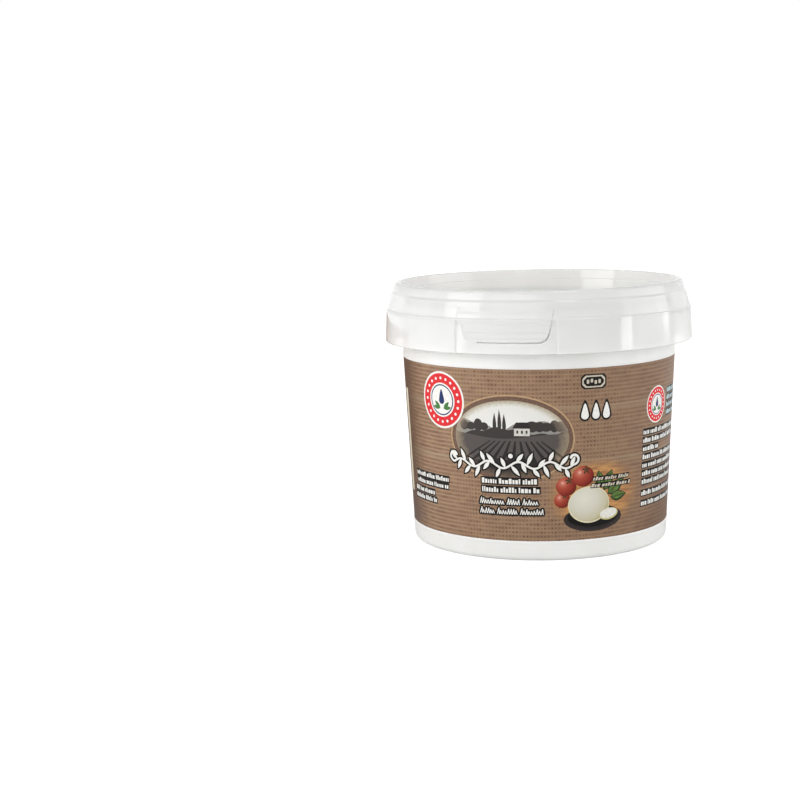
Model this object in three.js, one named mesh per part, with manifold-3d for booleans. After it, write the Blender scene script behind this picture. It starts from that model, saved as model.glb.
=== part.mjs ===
// Shut round plastic tub for a soft cheese in brine: a tapered pot, the printed label moulded into its wall,
// and a tamper-evident snap lid. Millimetres, +Z up, origin at the middle of the foot, front at -Y.
import * as THREE from "three";
import { mergeVertices } from "three/addons/utils/BufferGeometryUtils.js";
import Module from "manifold-3d";

const SEGMENTS = 64; // round the axis, a multiple of 4 so that the widest points lie on X and Y
const FILLET_STEPS = 2; // straight pieces in a rounded corner of a profile
const FIT_GAP = 0.3; // between two separate solids that lie against each other

// Pot: one injection-moulded piece, filled up to just under the lid
const FOOT_RADIUS = 39.27; // the tapered wall carried down to the floor
const WALL_TAPER = 0.0477; // growth in radius for each millimetre of height
const FOOT_ROUND = 1.8; // moulded corner between the wall and the foot
const FOOT_RING_WIDTH = 2.7; // flat ring that the pot stands on
const UNDERSIDE_RISE = 1.3; // the middle of the underside stands clear of the floor
const GATE_RADIUS = 3.2; // small dimple in the middle of the underside, where the plastic was injected
const GATE_DEPTH = 0.6;
const LABEL_BOTTOM_Z = 6.15;
const LABEL_TOP_Z = 57.1;
const LABEL_THICKNESS = 0.3;
const COLLAR_RADIUS = 41.95; // straight band above the label, under the lid's skirt
const MOUTH_RADIUS = 41.65; // outer radius at the mouth
const MOUTH_WALL = 0.6;
const MOUTH_Z = 74.3;

// Lid: one thin-walled piece with a sunk panel, a rolled rim and a hanging skirt
const LID_WALL = 0.85;
const PANEL_Z = 73.2; // top face of the sunk panel, where the next tub's foot stands
const PANEL_RADIUS = 39.9;
const PANEL_ROUND = 0.7;
const LEDGE_Z = 77.0; // narrow ledge part way up the wall of the recess
const LEDGE_INNER_RADIUS = 40.75;
const LEDGE_OUTER_RADIUS = 41.45;
const TOP_Z = 79.9;
const RIM_INNER_RADIUS = 42.3;
const RIM_OUTER_RADIUS = 44.15;
const RIM_ROUND = 0.55;
const RIM_OUTER_ROUND = 1.2; // the rim is much rounder outside than inside
const NECK_RADIUS = 44.75; // foot of the upright rim, where the sloping shoulder begins
const NECK_Z = 77.15;
const SHOULDER_TOP_RADIUS = 45.2;
const SHOULDER_DROP = 0.45; // height of the small step from the rim to the shoulder
const SHOULDER_FOOT_RADIUS = 46.35;
const SHOULDER_FOOT_Z = 72.2;
const RIDGE_RADIUS = 46.85; // the skirt's top edge stands a little proud of the shoulder
const RIDGE_Z = 71.8;
const SKIRT_RADIUS = 47.3;
const SKIRT_BOTTOM_Z = 61.9;
const SKIRT_ROUND = 0.3;

// Tear-open tab in the front of the skirt: widths are measured along the skirt's face
const WINDOW_WIDTH = 30.8; // shallow sunk field that the tab stands in, open at the bottom
const WINDOW_TOP_Z = 71.3;
const WINDOW_DEPTH = 0.4;
const TAB_TOP_WIDTH = 28.8;
const TAB_BOTTOM_WIDTH = 24.6;
const TAB_TOP_Z = 74.5;
const TAB_BOTTOM_Z = 65.3;
const TAB_ROUND = 3.4;
const SLIT_WIDTH = 0.4;
const SLIT_REACH = { inwards: 3, outwards: 1 }; // how far the cut runs from the skirt's face
const GRIP_ROWS_Z = [70.8, 68.3, 66.6];
const GRIP_HEIGHT = 0.5;
const GRIP_PROUD = 0.3;
const GRIP_MARGIN = 1.3; // from the end of a grip ridge to the edge of the tab
const PIP_RADIUS = 0.7; // small bump at each end of the slit, which stops it tearing further
const PIP_RISE = 0.6; // from the end of the slit up to the middle of the bump
const WRAP_STEPS = 14; // pieces round the curve in a block that follows the skirt

const wasm = await Module();
wasm.setup();

// The points of a profile through corners [radius, height, rounding], where rounding may be left out.
function filleted(corners) {
  return corners.flatMap(([x, y, rounding = 0], i) => {
    const corner = new THREE.Vector2(x, y);
    if (!rounding) return [corner];
    const towards = (other) => new THREE.Vector2(other[0], other[1]).sub(corner).normalize();
    const back = towards(corners[i - 1]);
    const ahead = towards(corners[i + 1]);
    const reach = rounding / Math.tan(Math.acos(back.dot(ahead)) / 2);
    const start = back.multiplyScalar(reach).add(corner);
    const end = ahead.multiplyScalar(reach).add(corner);
    return new THREE.QuadraticBezierCurve(start, corner, end).getPoints(FILLET_STEPS);
  });
}

// A profile turned once round the Z axis.
function turned(corners) {
  return new THREE.LatheGeometry(filleted(corners), SEGMENTS).rotateX(Math.PI / 2);
}

function toSolid(geometry) {
  const bare = geometry.index ? geometry.toNonIndexed() : geometry.clone();
  bare.deleteAttribute("normal");
  bare.deleteAttribute("uv");
  const merged = mergeVertices(bare, 1e-3);
  return new wasm.Manifold(
    new wasm.Mesh({
      numProp: 3,
      vertProperties: merged.attributes.position.array,
      triVerts: new Uint32Array(merged.index.array),
    }),
  );
}

function toGeometry(solid) {
  const mesh = solid.getMesh();
  return new THREE.BufferGeometry()
    .setAttribute("position", new THREE.BufferAttribute(mesh.vertProperties, 3))
    .setIndex(new THREE.BufferAttribute(mesh.triVerts, 1));
}

const wallRadius = (z) => FOOT_RADIUS + WALL_TAPER * z;

function potGeometry() {
  const flatRadius = FOOT_RADIUS - FOOT_ROUND;
  const ringInner = flatRadius - FOOT_RING_WIDTH;
  const sunk = LABEL_THICKNESS + FIT_GAP;
  const fillZ = PANEL_Z - LID_WALL - FIT_GAP;
  return turned([
    [0, UNDERSIDE_RISE + GATE_DEPTH],
    [GATE_RADIUS - GATE_DEPTH, UNDERSIDE_RISE + GATE_DEPTH],
    [GATE_RADIUS, UNDERSIDE_RISE],
    [ringInner - UNDERSIDE_RISE, UNDERSIDE_RISE],
    [ringInner, 0],
    [FOOT_RADIUS, 0, FOOT_ROUND],
    [wallRadius(LABEL_BOTTOM_Z), LABEL_BOTTOM_Z],
    [wallRadius(LABEL_BOTTOM_Z) - sunk, LABEL_BOTTOM_Z],
    [wallRadius(LABEL_TOP_Z) - sunk, LABEL_TOP_Z],
    [wallRadius(LABEL_TOP_Z), LABEL_TOP_Z],
    [COLLAR_RADIUS, LABEL_TOP_Z + 1],
    [MOUTH_RADIUS, MOUTH_Z, MOUTH_WALL],
    [MOUTH_RADIUS - MOUTH_WALL, MOUTH_Z],
    [MOUTH_RADIUS - MOUTH_WALL, fillZ],
    [0, fillZ],
  ]);
}

function labelGeometry() {
  const low = LABEL_BOTTOM_Z + FIT_GAP;
  const high = LABEL_TOP_Z - FIT_GAP;
  return turned([
    [wallRadius(low) - LABEL_THICKNESS, low],
    [wallRadius(low), low],
    [wallRadius(high), high],
    [wallRadius(high) - LABEL_THICKNESS, high],
    [wallRadius(low) - LABEL_THICKNESS, low],
  ]);
}

function lidShell() {
  const plugRadius = PANEL_RADIUS + LID_WALL;
  const shoulderTopZ = NECK_Z - SHOULDER_DROP;
  return turned([
    [0, PANEL_Z - LID_WALL],
    [plugRadius, PANEL_Z - LID_WALL, PANEL_ROUND],
    [plugRadius, MOUTH_Z + FIT_GAP],
    [LEDGE_OUTER_RADIUS + LID_WALL, LEDGE_Z - LID_WALL],
    [RIM_INNER_RADIUS + LID_WALL, TOP_Z - 2 * LID_WALL],
    [NECK_RADIUS - LID_WALL, NECK_Z - LID_WALL],
    [SHOULDER_FOOT_RADIUS - LID_WALL, SHOULDER_FOOT_Z - LID_WALL],
    [RIDGE_RADIUS - LID_WALL, RIDGE_Z - LID_WALL],
    [SKIRT_RADIUS - LID_WALL, SKIRT_BOTTOM_Z, SKIRT_ROUND],
    [SKIRT_RADIUS, SKIRT_BOTTOM_Z, SKIRT_ROUND],
    [RIDGE_RADIUS, RIDGE_Z],
    [SHOULDER_FOOT_RADIUS, SHOULDER_FOOT_Z],
    [SHOULDER_TOP_RADIUS, shoulderTopZ],
    [NECK_RADIUS, NECK_Z],
    [RIM_OUTER_RADIUS, TOP_Z, RIM_OUTER_ROUND],
    [RIM_INNER_RADIUS, TOP_Z, RIM_ROUND],
    [LEDGE_OUTER_RADIUS, LEDGE_Z],
    [LEDGE_INNER_RADIUS, LEDGE_Z],
    [PANEL_RADIUS, PANEL_Z, PANEL_ROUND],
    [0, PANEL_Z],
  ]);
}

// Bends a flat piece onto the front of the skirt: x is the distance round it, y the height, z the distance
// out from its face.
function wrapped(geometry) {
  const place = geometry.attributes.position;
  for (let i = 0; i < place.count; i++) {
    const angle = place.getX(i) / SKIRT_RADIUS;
    const height = place.getY(i);
    const rise = (height - SKIRT_BOTTOM_Z) / (RIDGE_Z - SKIRT_BOTTOM_Z);
    const radius = THREE.MathUtils.lerp(SKIRT_RADIUS, RIDGE_RADIUS, rise) + place.getZ(i);
    place.setXYZ(i, radius * Math.sin(angle), -radius * Math.cos(angle), height);
  }
  return toSolid(geometry);
}

// A block on the skirt, from one height and one depth to another, centred on the front.
function wrappedBlock(width, [lowZ, highZ], [inner, outer]) {
  return wrapped(
    new THREE.BoxGeometry(width, highZ - lowZ, outer - inner, WRAP_STEPS, 1, 1).translate(
      0,
      (lowZ + highZ) / 2,
      (inner + outer) / 2,
    ),
  );
}

const tabHalfWidth = (z) =>
  THREE.MathUtils.mapLinear(z, TAB_BOTTOM_Z, TAB_TOP_Z, TAB_BOTTOM_WIDTH, TAB_TOP_WIDTH) / 2;

// The U-shaped line round the tab, moved outwards by grow.
function tabOutline(grow) {
  const top = tabHalfWidth(TAB_TOP_Z) + grow;
  const bottom = tabHalfWidth(TAB_BOTTOM_Z) + grow;
  const lowZ = TAB_BOTTOM_Z - grow;
  const corners = filleted([
    [-top, TAB_TOP_Z],
    [-bottom, lowZ, TAB_ROUND + grow],
    [bottom, lowZ, TAB_ROUND + grow],
    [top, TAB_TOP_Z],
  ]);
  return new THREE.Path(corners).getSpacedPoints(3 * WRAP_STEPS);
}

function tabSlit() {
  const outline = [...tabOutline(SLIT_WIDTH / 2), ...tabOutline(-SLIT_WIDTH / 2).reverse()];
  const depth = SLIT_REACH.inwards + SLIT_REACH.outwards;
  const flat = new THREE.ExtrudeGeometry(new THREE.Shape(outline), { depth, bevelEnabled: false });
  return wrapped(flat.translate(0, 0, -SLIT_REACH.inwards));
}

// The bump above one end of the slit, on the sloping shoulder.
function slitPip(side) {
  const z = TAB_TOP_Z + PIP_RISE;
  const { mapLinear } = THREE.MathUtils;
  const shoulderTopZ = NECK_Z - SHOULDER_DROP;
  const radius = mapLinear(z, SHOULDER_FOOT_Z, shoulderTopZ, SHOULDER_FOOT_RADIUS, SHOULDER_TOP_RADIUS);
  const angle = (side * tabHalfWidth(z)) / SKIRT_RADIUS;
  const ball = new THREE.SphereGeometry(PIP_RADIUS, 10, 6);
  return toSolid(ball.translate(radius * Math.sin(angle), -radius * Math.cos(angle), z));
}

function lidGeometry() {
  let lid = toSolid(lidShell());
  const windowZ = [SKIRT_BOTTOM_Z - 1, WINDOW_TOP_Z];
  lid = lid.subtract(wrappedBlock(WINDOW_WIDTH, windowZ, [-WINDOW_DEPTH, 1]));
  for (const z of GRIP_ROWS_Z) {
    const width = 2 * (tabHalfWidth(z) - GRIP_MARGIN);
    const rows = [z - GRIP_HEIGHT / 2, z + GRIP_HEIGHT / 2];
    lid = lid.add(wrappedBlock(width, rows, [-WINDOW_DEPTH - 0.2, GRIP_PROUD - WINDOW_DEPTH]));
  }
  lid = lid.subtract(tabSlit());
  for (const side of [-1, 1]) lid = lid.add(slitPip(side));
  return toGeometry(lid);
}

function piece(name, geometry, color, roughness) {
  const material = new THREE.MeshStandardMaterial({ color, roughness, metalness: 0 });
  const mesh = new THREE.Mesh(geometry, material);
  mesh.name = name;
  return mesh;
}

const group = new THREE.Group();
group.add(piece("tub", potGeometry(), "#eceeea", 0.35));
group.add(piece("label", labelGeometry(), "#8d745c", 0.45));
group.add(piece("lid", lidGeometry(), "#e9eae7", 0.3));

export default group;
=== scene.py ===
"""Shut round tub of soft cheese in brine: a white pot, the printed film moulded into its wall, and a
translucent snap lid. Metres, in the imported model's frame: +Z up, the tear-open tab at -Y and +X to its right.
Sizes in the sections below are in millimetres."""

import math
import bpy
import numpy as np
from mathutils import Matrix, Vector
from mathutils.geometry import delaunay_2d_cdt


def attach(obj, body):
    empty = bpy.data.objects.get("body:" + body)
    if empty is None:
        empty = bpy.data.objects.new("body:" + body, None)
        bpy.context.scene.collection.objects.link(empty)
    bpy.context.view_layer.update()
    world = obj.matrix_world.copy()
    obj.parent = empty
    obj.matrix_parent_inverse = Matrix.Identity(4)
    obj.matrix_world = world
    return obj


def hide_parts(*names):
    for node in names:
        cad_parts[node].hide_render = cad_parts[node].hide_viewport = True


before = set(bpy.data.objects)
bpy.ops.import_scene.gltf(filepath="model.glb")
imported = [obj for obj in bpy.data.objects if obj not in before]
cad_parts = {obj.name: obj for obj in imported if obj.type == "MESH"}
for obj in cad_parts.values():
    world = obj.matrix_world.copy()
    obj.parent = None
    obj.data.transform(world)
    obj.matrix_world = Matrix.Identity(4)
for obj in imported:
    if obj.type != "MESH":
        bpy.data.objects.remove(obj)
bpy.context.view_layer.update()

# ----------------------------------------------------------------------------------------------- pot
# The pot is one thin-walled bucket of white polypropylene, injection moulded through a gate in the middle of
# its underside. Its wall tapers so that empty pots nest, and it stands on a narrow foot ring. It is full and
# shut, so its inside is closed off just under the lid.

MM = 0.001
SHARP_ANGLE = math.radians(40)
POT_COLUMNS = 256  # faces round the pot
FOOT_RADIUS, FOOT_ROUND = 39.27, 1.8
FOOT_RING_WIDTH, FOOT_RING_ROUND = 2.7, 0.35
UNDERSIDE_RISE, UNDERSIDE_ROUND = 1.3, 0.6
GATE_RADIUS, GATE_DEPTH, GATE_ROUND = 3.2, 0.6, 0.25
WALL_TAPER = 0.0477  # growth in radius for each millimetre of height
WALL_ROUND = 2  # of the slight bends in the bare wall, just below the film and above it
LABEL_BOTTOM_Z, LABEL_TOP_Z = 6.15, 57.1
FILM_THICKNESS, BEHIND_FILM = 0.25, 0.05  # and the room that is left behind it
LIP_HEIGHT, LIP_PROUD, LIP_ROUND = 1.2, 0.2, 0.42  # below the film the bare wall flares and catches the light
EDGE_PROUD, EDGE_ROUND = 0.02, 0.04  # above the film it lies nearly flush
COLLAR_RADIUS, COLLAR_RISE = 41.95, 1.6  # the collar starts this far above the film
MOUTH_RADIUS, MOUTH_Z, MOUTH_WALL = 41.65, 74.3, 0.6
FILL_Z = 72.05


def wall_radius(z):
    return FOOT_RADIUS + WALL_TAPER * z


def rounded(corners, steps=6):
    """The points of a line through corners (x, y, rounding), where rounding may be left out."""
    points = []
    for i, (x, y, *rounding) in enumerate(corners):
        corner = np.array([x, y], float)
        if not rounding:
            points.append(corner)
            continue
        back = np.array(corners[i - 1][:2]) - corner
        ahead = np.array(corners[i + 1][:2]) - corner
        back, ahead = back / np.linalg.norm(back), ahead / np.linalg.norm(ahead)
        reach = rounding[0] / math.tan(math.acos(back @ ahead) / 2)
        for t in np.linspace(0, 1, steps + 1):
            points.append(corner + reach * ((1 - t) ** 2 * back + t**2 * ahead))
    return np.array(points)


def turned(radii, heights, angles):
    """Points and faces of a skin turned about the Z axis. Angles run from the front, -Y, towards +X. radii
    has a row for each point of the profile and a column for each angle, and a row of noughts is one point."""
    heights = np.broadcast_to(heights, radii.shape)
    points = np.stack([radii * np.sin(angles), -radii * np.cos(angles), heights], -1)
    rows, columns = radii.shape
    number = np.arange(rows * columns).reshape(rows, columns)
    on_axis = radii.max(axis=1) < 1e-6
    number[on_axis] = number[on_axis, :1]
    ahead = np.roll(number, -1, axis=1)
    quads = np.stack([number[:-1], ahead[:-1], ahead[1:], number[1:]], -1).reshape(-1, 4)
    faces = [list(dict.fromkeys(quad)) for quad in quads.tolist()]
    return points.reshape(-1, 3), faces


def new_piece(name, points, faces):
    """An object from points in millimetres, shaded smooth up to its sharp edges."""
    used, faces_flat = np.unique(np.concatenate(faces), return_inverse=True)
    ends = np.cumsum([len(face) for face in faces])[:-1]
    faces_used = [face.tolist() for face in np.split(faces_flat, ends)]
    mesh = bpy.data.meshes.new(name)
    mesh.from_pydata((np.asarray(points)[used] * MM).tolist(), [], faces_used)
    mesh.shade_smooth()
    mesh.set_sharp_from_angle(angle=SHARP_ANGLE)
    piece = bpy.data.objects.new(name, mesh)
    bpy.context.collection.objects.link(piece)
    return piece


def linear(code):
    """An sRGB hex colour as linear RGBA."""
    parts = [int(code[i : i + 2], 16) / 255 for i in (1, 3, 5)]
    return [p / 12.92 if p <= 0.04045 else ((p + 0.055) / 1.055) ** 2.4 for p in parts] + [1]


def add_node(tree, kind, inputs=None, **settings):
    """Adds a node. inputs gives its sockets by name or number, each a value, an output or a node to link."""
    node = tree.nodes.new("ShaderNode" + kind)
    for name, value in settings.items():
        setattr(node, name, value)
    for name, value in (inputs or {}).items():
        socket = node.inputs[name]
        if isinstance(value, bpy.types.Node):
            value = value.outputs[0]
        if isinstance(value, bpy.types.NodeSocket):
            tree.links.new(value, socket)
        else:
            socket.default_value = value
    return node


def new_material(name):
    """A material with an empty node tree."""
    material = bpy.data.materials.new(name)
    material.use_nodes = True
    material.node_tree.nodes.clear()
    return material, material.node_tree


def moulded_white_polypropylene():
    """Injection-moulded polypropylene, filled white: soft satin gloss, light that sinks in a little, and a
    faint waviness and cloudiness where the melt flowed. A painted highlight whitens the thin lip along the
    film's foot."""
    cloud_size, ripple_size, ripple_height = 14 * MM, 2.2 * MM, 0.012 * MM
    lip_highlight_full, lip_highlight_end = 0.35 * MM, 0.75 * MM  # how far from the lip the painted highlight is full, and where it has faded out
    light_reach = (2.5 * MM, 2.4 * MM, 2.2 * MM)
    material, tree = new_material("injection_moulded_white_polypropylene")
    place = add_node(tree, "TexCoord").outputs["Object"]
    cloud = add_node(tree, "TexNoise", {"Vector": place, "Scale": 1 / cloud_size, "Detail": 3})
    colour = add_node(tree, "ValToRGB", {"Fac": cloud})
    low, high = colour.color_ramp.elements
    low.position, high.position = 0.35, 0.65
    low.color, high.color = linear("#efefec"), linear("#f5f5f2")
    height = add_node(tree, "SeparateXYZ", {0: place}).outputs["Z"]
    # painted highlight: the colour turns whiter close to the lip at the film's foot
    from_lip = add_node(tree, "Math", {0: height, 1: LABEL_BOTTOM_Z * MM}, operation="SUBTRACT")
    off_lip = add_node(tree, "Math", {0: from_lip}, operation="ABSOLUTE")
    lip_highlight = add_node(tree, "MapRange", {"Value": off_lip, "From Min": lip_highlight_end, "From Max": lip_highlight_full},
                        interpolation_type="SMOOTHSTEP")
    shade = add_node(tree, "MixRGB", {"Fac": lip_highlight, "Color1": colour, "Color2": linear("#fbfbf9")})
    ripple = add_node(tree, "TexNoise", {"Vector": place, "Scale": 1 / ripple_size, "Detail": 2})
    bump = add_node(tree, "Bump", {"Height": ripple, "Distance": ripple_height})
    roughness = add_node(tree, "MapRange", {"Value": ripple, "To Min": 0.3, "To Max": 0.38})
    plastic = add_node(tree, "BsdfPrincipled", {"Base Color": shade, "Roughness": roughness, "Normal": bump,
                       "IOR": 1.49, "Subsurface Weight": 0.3, "Subsurface Radius": light_reach,
                       "Subsurface Scale": 1})
    add_node(tree, "OutputMaterial", {"Surface": plastic})
    return material


ring_inner = FOOT_RADIUS - FOOT_ROUND - FOOT_RING_WIDTH
label_foot, label_head = wall_radius(LABEL_BOTTOM_Z), wall_radius(LABEL_TOP_Z)
seat_depth = FILM_THICKNESS + BEHIND_FILM
mouth_round = MOUTH_WALL / 2.2
pot_profile = rounded([
    (0, UNDERSIDE_RISE + GATE_DEPTH),
    (GATE_RADIUS - GATE_DEPTH, UNDERSIDE_RISE + GATE_DEPTH, GATE_ROUND),
    (GATE_RADIUS, UNDERSIDE_RISE, GATE_ROUND),
    (ring_inner - UNDERSIDE_RISE, UNDERSIDE_RISE, UNDERSIDE_ROUND),
    (ring_inner, 0, FOOT_RING_ROUND),
    (FOOT_RADIUS, 0, FOOT_ROUND),
    (label_foot, LABEL_BOTTOM_Z - LIP_HEIGHT, WALL_ROUND),
    (label_foot + LIP_PROUD, LABEL_BOTTOM_Z, LIP_ROUND),
    (label_foot - seat_depth, LABEL_BOTTOM_Z),
    (label_head - seat_depth, LABEL_TOP_Z),
    (label_head + EDGE_PROUD, LABEL_TOP_Z, EDGE_ROUND),
    (COLLAR_RADIUS, LABEL_TOP_Z + COLLAR_RISE, WALL_ROUND),
    (MOUTH_RADIUS, MOUTH_Z, mouth_round),
    (MOUTH_RADIUS - MOUTH_WALL, MOUTH_Z, mouth_round),
    (MOUTH_RADIUS - MOUTH_WALL, FILL_Z),
    (0, FILL_Z),
])
pot_angles = np.arange(POT_COLUMNS) * 2 * math.pi / POT_COLUMNS
pot_radii = np.repeat(pot_profile[:, :1], POT_COLUMNS, axis=1)
pot = new_piece("pot", *turned(pot_radii, pot_profile[:, 1:], pot_angles))
pot.data.materials.append(moulded_white_polypropylene())
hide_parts("tub")
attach(pot, "root")

# ------------------------------------------------------------------------------- film and how it is printed
# The label is one polypropylene film, printed flat and laid in the mould, so that the pot's wall forms behind
# it. The flat sheet is cut along the outlines of its print, and each ink becomes one thin body bent round the
# wall, so the inks lie in one skin and meet edge to edge.

PRINT_RADIUS = 41.0  # distances round the label, x, are measured on this radius, from the front to the right
FOLD_PITCH = 1.6  # the sheet is creased this often, so that it follows the round wall
FILM_INSET = 0.02  # the film's face lies this far inside the line of the wall
FILM_MARGIN = 0.04  # between the film's edge and the bare wall
CUT_ACCURACY = 1e-5
LEAF_POINT = 1.4  # a grown leaf's two points move out this many times as far as its sides


def placed(flat, x, z, turn):
    """A flat outline, turned by turn radians and then moved to x, z."""
    return flat @ [[math.cos(turn), math.sin(turn)], [-math.sin(turn), math.cos(turn)]] + [x, z]


def ellipse(x, z, across, up, points=48, turn=0.0):
    """An oval outline of these half sizes."""
    t = np.arange(points) * 2 * math.pi / points
    return placed(np.stack([across * np.cos(t), up * np.sin(t)], -1), x, z, turn)


def block(left, bottom, right, top, corner=0.0, slant=0.0):
    """A rectangle with rounded corners, its top moved right by slant."""
    if corner:
        low_right, high_right = (right, bottom, corner), (right, top, corner)
        high_left, low_left = (left, top, corner), (left, bottom, corner)
        middle = ((left + right) / 2, bottom)
        outline = rounded([middle, low_right, high_right, high_left, low_left, middle], 3)[:-1]
    else:
        outline = np.array([(left, bottom), (right, bottom), (right, top), (left, top)], float)
    outline[:, 0] += slant * (outline[:, 1] - bottom) / (top - bottom)
    return outline


def ribbon(points, width, ends=5):
    """A stroke along points with round ends. width is one number or one for each point."""
    points = np.asarray(points, float)
    half = np.broadcast_to(np.asarray(width, float) / 2, len(points))[:, None]
    along = np.gradient(points, axis=0)
    along /= np.linalg.norm(along, axis=1, keepdims=True)
    aside = np.stack([-along[:, 1], along[:, 0]], -1)
    t = np.linspace(0, math.pi, ends + 2)[1:-1, None]
    head = points[-1] + half[-1] * (aside[-1] * np.cos(t) + along[-1] * np.sin(t))
    tail = points[0] - half[0] * (aside[0] * np.cos(t) + along[0] * np.sin(t))
    return np.concatenate([points + half * aside, head, (points - half * aside)[::-1], tail])


def leaf(x, z, length, width, turn, grow=0.0, points=9, fullness=1.0):
    """A pointed leaf from its stalk at x, z, in the direction turn, with grow added all round."""
    t = np.linspace(0, 1, points)
    half = (width / 2) * np.sin(math.pi * t**fullness)
    along = t * length + grow * np.where(t == 0, -1, np.where(t == 1, 1, 0)) * LEAF_POINT
    half = half + grow * ((t > 0) & (t < 1))
    upper = np.stack([along, half], -1)
    lower = np.stack([along, -half], -1)[-2:0:-1]
    return placed(np.concatenate([upper, lower]), x, z, turn)


def drop(x, z, radius, height, grow=0.0, points=24):
    """A drop with its round belly at x, z and its tip height above that. Above the belly its sides are drawn
    in the more, the higher they are, so that they meet in a point."""
    t = np.arange(points) * 2 * math.pi / points
    lift = np.clip(np.sin(t), 0, 1)
    drawn_in = 1 - 0.35 * lift**1.5
    across = (radius + grow) * np.cos(t) * drawn_in * np.where(lift > 0.999, 0, 1)
    up = np.where(lift > 0, (height + 1.8 * grow) * lift**1.35, (radius + grow) * np.sin(t))
    return np.stack([across, up], -1) + [x, z]


def counter_clockwise(outline):
    x, z = outline.T
    return outline if np.sum(x * np.roll(z, -1) - np.roll(x, -1) * z) > 0 else outline[::-1]


def cut_print(sheet, sheet_ink, shapes, folds):
    """Cuts the flat sheet along its print. shapes holds (ink, outline, window) in the order of printing, and
    window is None or the number of the shape, counted from 1, outside which this one isn't printed. Gives the
    points, the triangles, and each triangle's ink."""
    points, outlines = [], []
    for outline in [sheet] + [shape[1] for shape in shapes]:
        outlines.append(list(range(len(points), len(points) + len(outline))))
        points.extend(counter_clockwise(np.asarray(outline)))
    creases = []
    for crease in folds:
        creases.append((len(points), len(points) + 1))
        points.extend(crease)
    inside_only = 1
    places, _, pieces, _, _, pieces_owners = delaunay_2d_cdt(
        [Vector(p) for p in points], creases, outlines, inside_only, CUT_ACCURACY)
    triangles, inks = [], []
    for triangle, owners in zip(pieces, pieces_owners):
        if 0 not in owners:
            continue
        ink = sheet_ink
        for number in sorted(owners, reverse=True):
            window = shapes[number - 1][2] if number else None
            if number and (window is None or window in owners):
                ink = shapes[number - 1][0]
                break
        triangles.append(triangle)
        inks.append(ink)
    return np.array([tuple(place) for place in places]), np.array(triangles), np.array(inks)


def film_pieces(prefix, flat, triangles, inks, wrap, thickness):
    """One thin closed body for each ink. wrap gives a flat point's place and the face's direction there."""
    low, size = flat.min(axis=0), np.ptp(flat, axis=0)
    pieces = {}
    for ink in sorted(set(inks)):
        used, corners = np.unique(triangles[inks == ink], return_inverse=True)
        corners = corners.reshape(-1, 3)
        count = len(used)
        sides = {(a, b) for tri in corners.tolist() for a, b in zip(tri, tri[1:] + tri[:1])}
        rim = [[b, a, a + count, b + count] for a, b in sides if (b, a) not in sides]
        faces = corners.tolist() + (corners[:, ::-1] + count).tolist() + sorted(rim)
        places, facing = wrap(flat[used])
        piece = new_piece(f"{prefix}_{ink}", np.concatenate([places, places - thickness * facing]), faces)
        mesh = piece.data
        shown = np.concatenate([flat[used], flat[used]])
        printed = mesh.attributes.new("print_mm", "FLOAT_VECTOR", "POINT")
        printed.data.foreach_set("vector", np.pad(shown, ((0, 0), (0, 1))).astype(np.float32).ravel())
        vertex = np.empty(len(mesh.loops), int)
        mesh.loops.foreach_get("vertex_index", vertex)
        mesh.uv_layers.new(name="flat_sheet").data.foreach_set(
            "uv", ((shown[vertex] - low) / size).astype(np.float32).ravel())
        normals = np.empty(len(mesh.loops) * 3)
        mesh.corner_normals.foreach_get("vector", normals)
        normals = normals.reshape(-1, 3)
        face_corners = corners.size
        normals[:face_corners] = facing[vertex[:face_corners]]
        mesh.normals_split_custom_set(normals.tolist())
        pieces[ink] = piece
    return pieces


def satin_film(name, colour_of):
    """Printed polypropylene film, made smooth by the polished mould it was pressed against: a satin sheen
    with a very fine waviness. colour_of(tree, place) gives the colour, where place is the flat position in
    millimetres."""
    ripple_size, ripple_height = 1.4, 0.006 * MM
    material, tree = new_material(f"printed_polypropylene_film_{name}")
    place = add_node(tree, "Attribute", attribute_name="print_mm").outputs["Vector"]
    ripple = add_node(tree, "TexNoise", {"Vector": place, "Scale": 1 / ripple_size, "Detail": 2})
    bump = add_node(tree, "Bump", {"Height": ripple, "Distance": ripple_height})
    roughness = add_node(tree, "MapRange", {"Value": ripple, "To Min": 0.4, "To Max": 0.48})
    film = add_node(tree, "BsdfPrincipled", {"Base Color": colour_of(tree, place), "Roughness": roughness,
                    "Normal": bump, "IOR": 1.49, "Specular IOR Level": 0.22})
    add_node(tree, "OutputMaterial", {"Surface": film})
    return material


def mottled(shade, darker, grain=0.8):
    """One ink, a little uneven as printed solids are; the halftone itself is too fine to show."""

    def colour_of(tree, place):
        grains = add_node(tree, "TexNoise", {"Vector": place, "Scale": 1 / grain, "Detail": 2})
        ramp = add_node(tree, "ValToRGB", {"Fac": grains})
        low, high = ramp.color_ramp.elements
        low.position, high.position = 0.3, 0.65
        low.color, high.color = linear(darker), linear(shade)
        return ramp.outputs["Color"]

    return colour_of


def shaded(centre, reach, stops, grain=0.7, unevenness=0.06):
    """Ink that runs from one tone to the next with the distance from centre. reach is where it ends, as half
    sizes across and up, and stops gives (share of the way, colour)."""

    def colour_of(tree, place):
        offset = add_node(tree, "VectorMath", {0: place, 1: (*centre, 0)}, operation="SUBTRACT")
        scaled = add_node(tree, "VectorMath", {0: offset, 1: (1 / reach[0], 1 / reach[1], 0)},
                          operation="MULTIPLY")
        away = add_node(tree, "VectorMath", {0: scaled}, operation="LENGTH").outputs["Value"]
        grains = add_node(tree, "TexNoise", {"Vector": place, "Scale": 1 / grain, "Detail": 3})
        shift = add_node(tree, "MapRange", {"Value": grains, "To Min": -unevenness, "To Max": unevenness})
        way = add_node(tree, "Math", {0: away, 1: shift}, operation="ADD")
        ramp = add_node(tree, "ValToRGB", {"Fac": way})
        elements = ramp.color_ramp.elements
        while len(elements) < len(stops):
            elements.new(0.5)
        for element, (share, shade) in zip(elements, stops):
            element.position, element.color = share, linear(shade)
        return ramp.outputs["Color"]

    return colour_of


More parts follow.
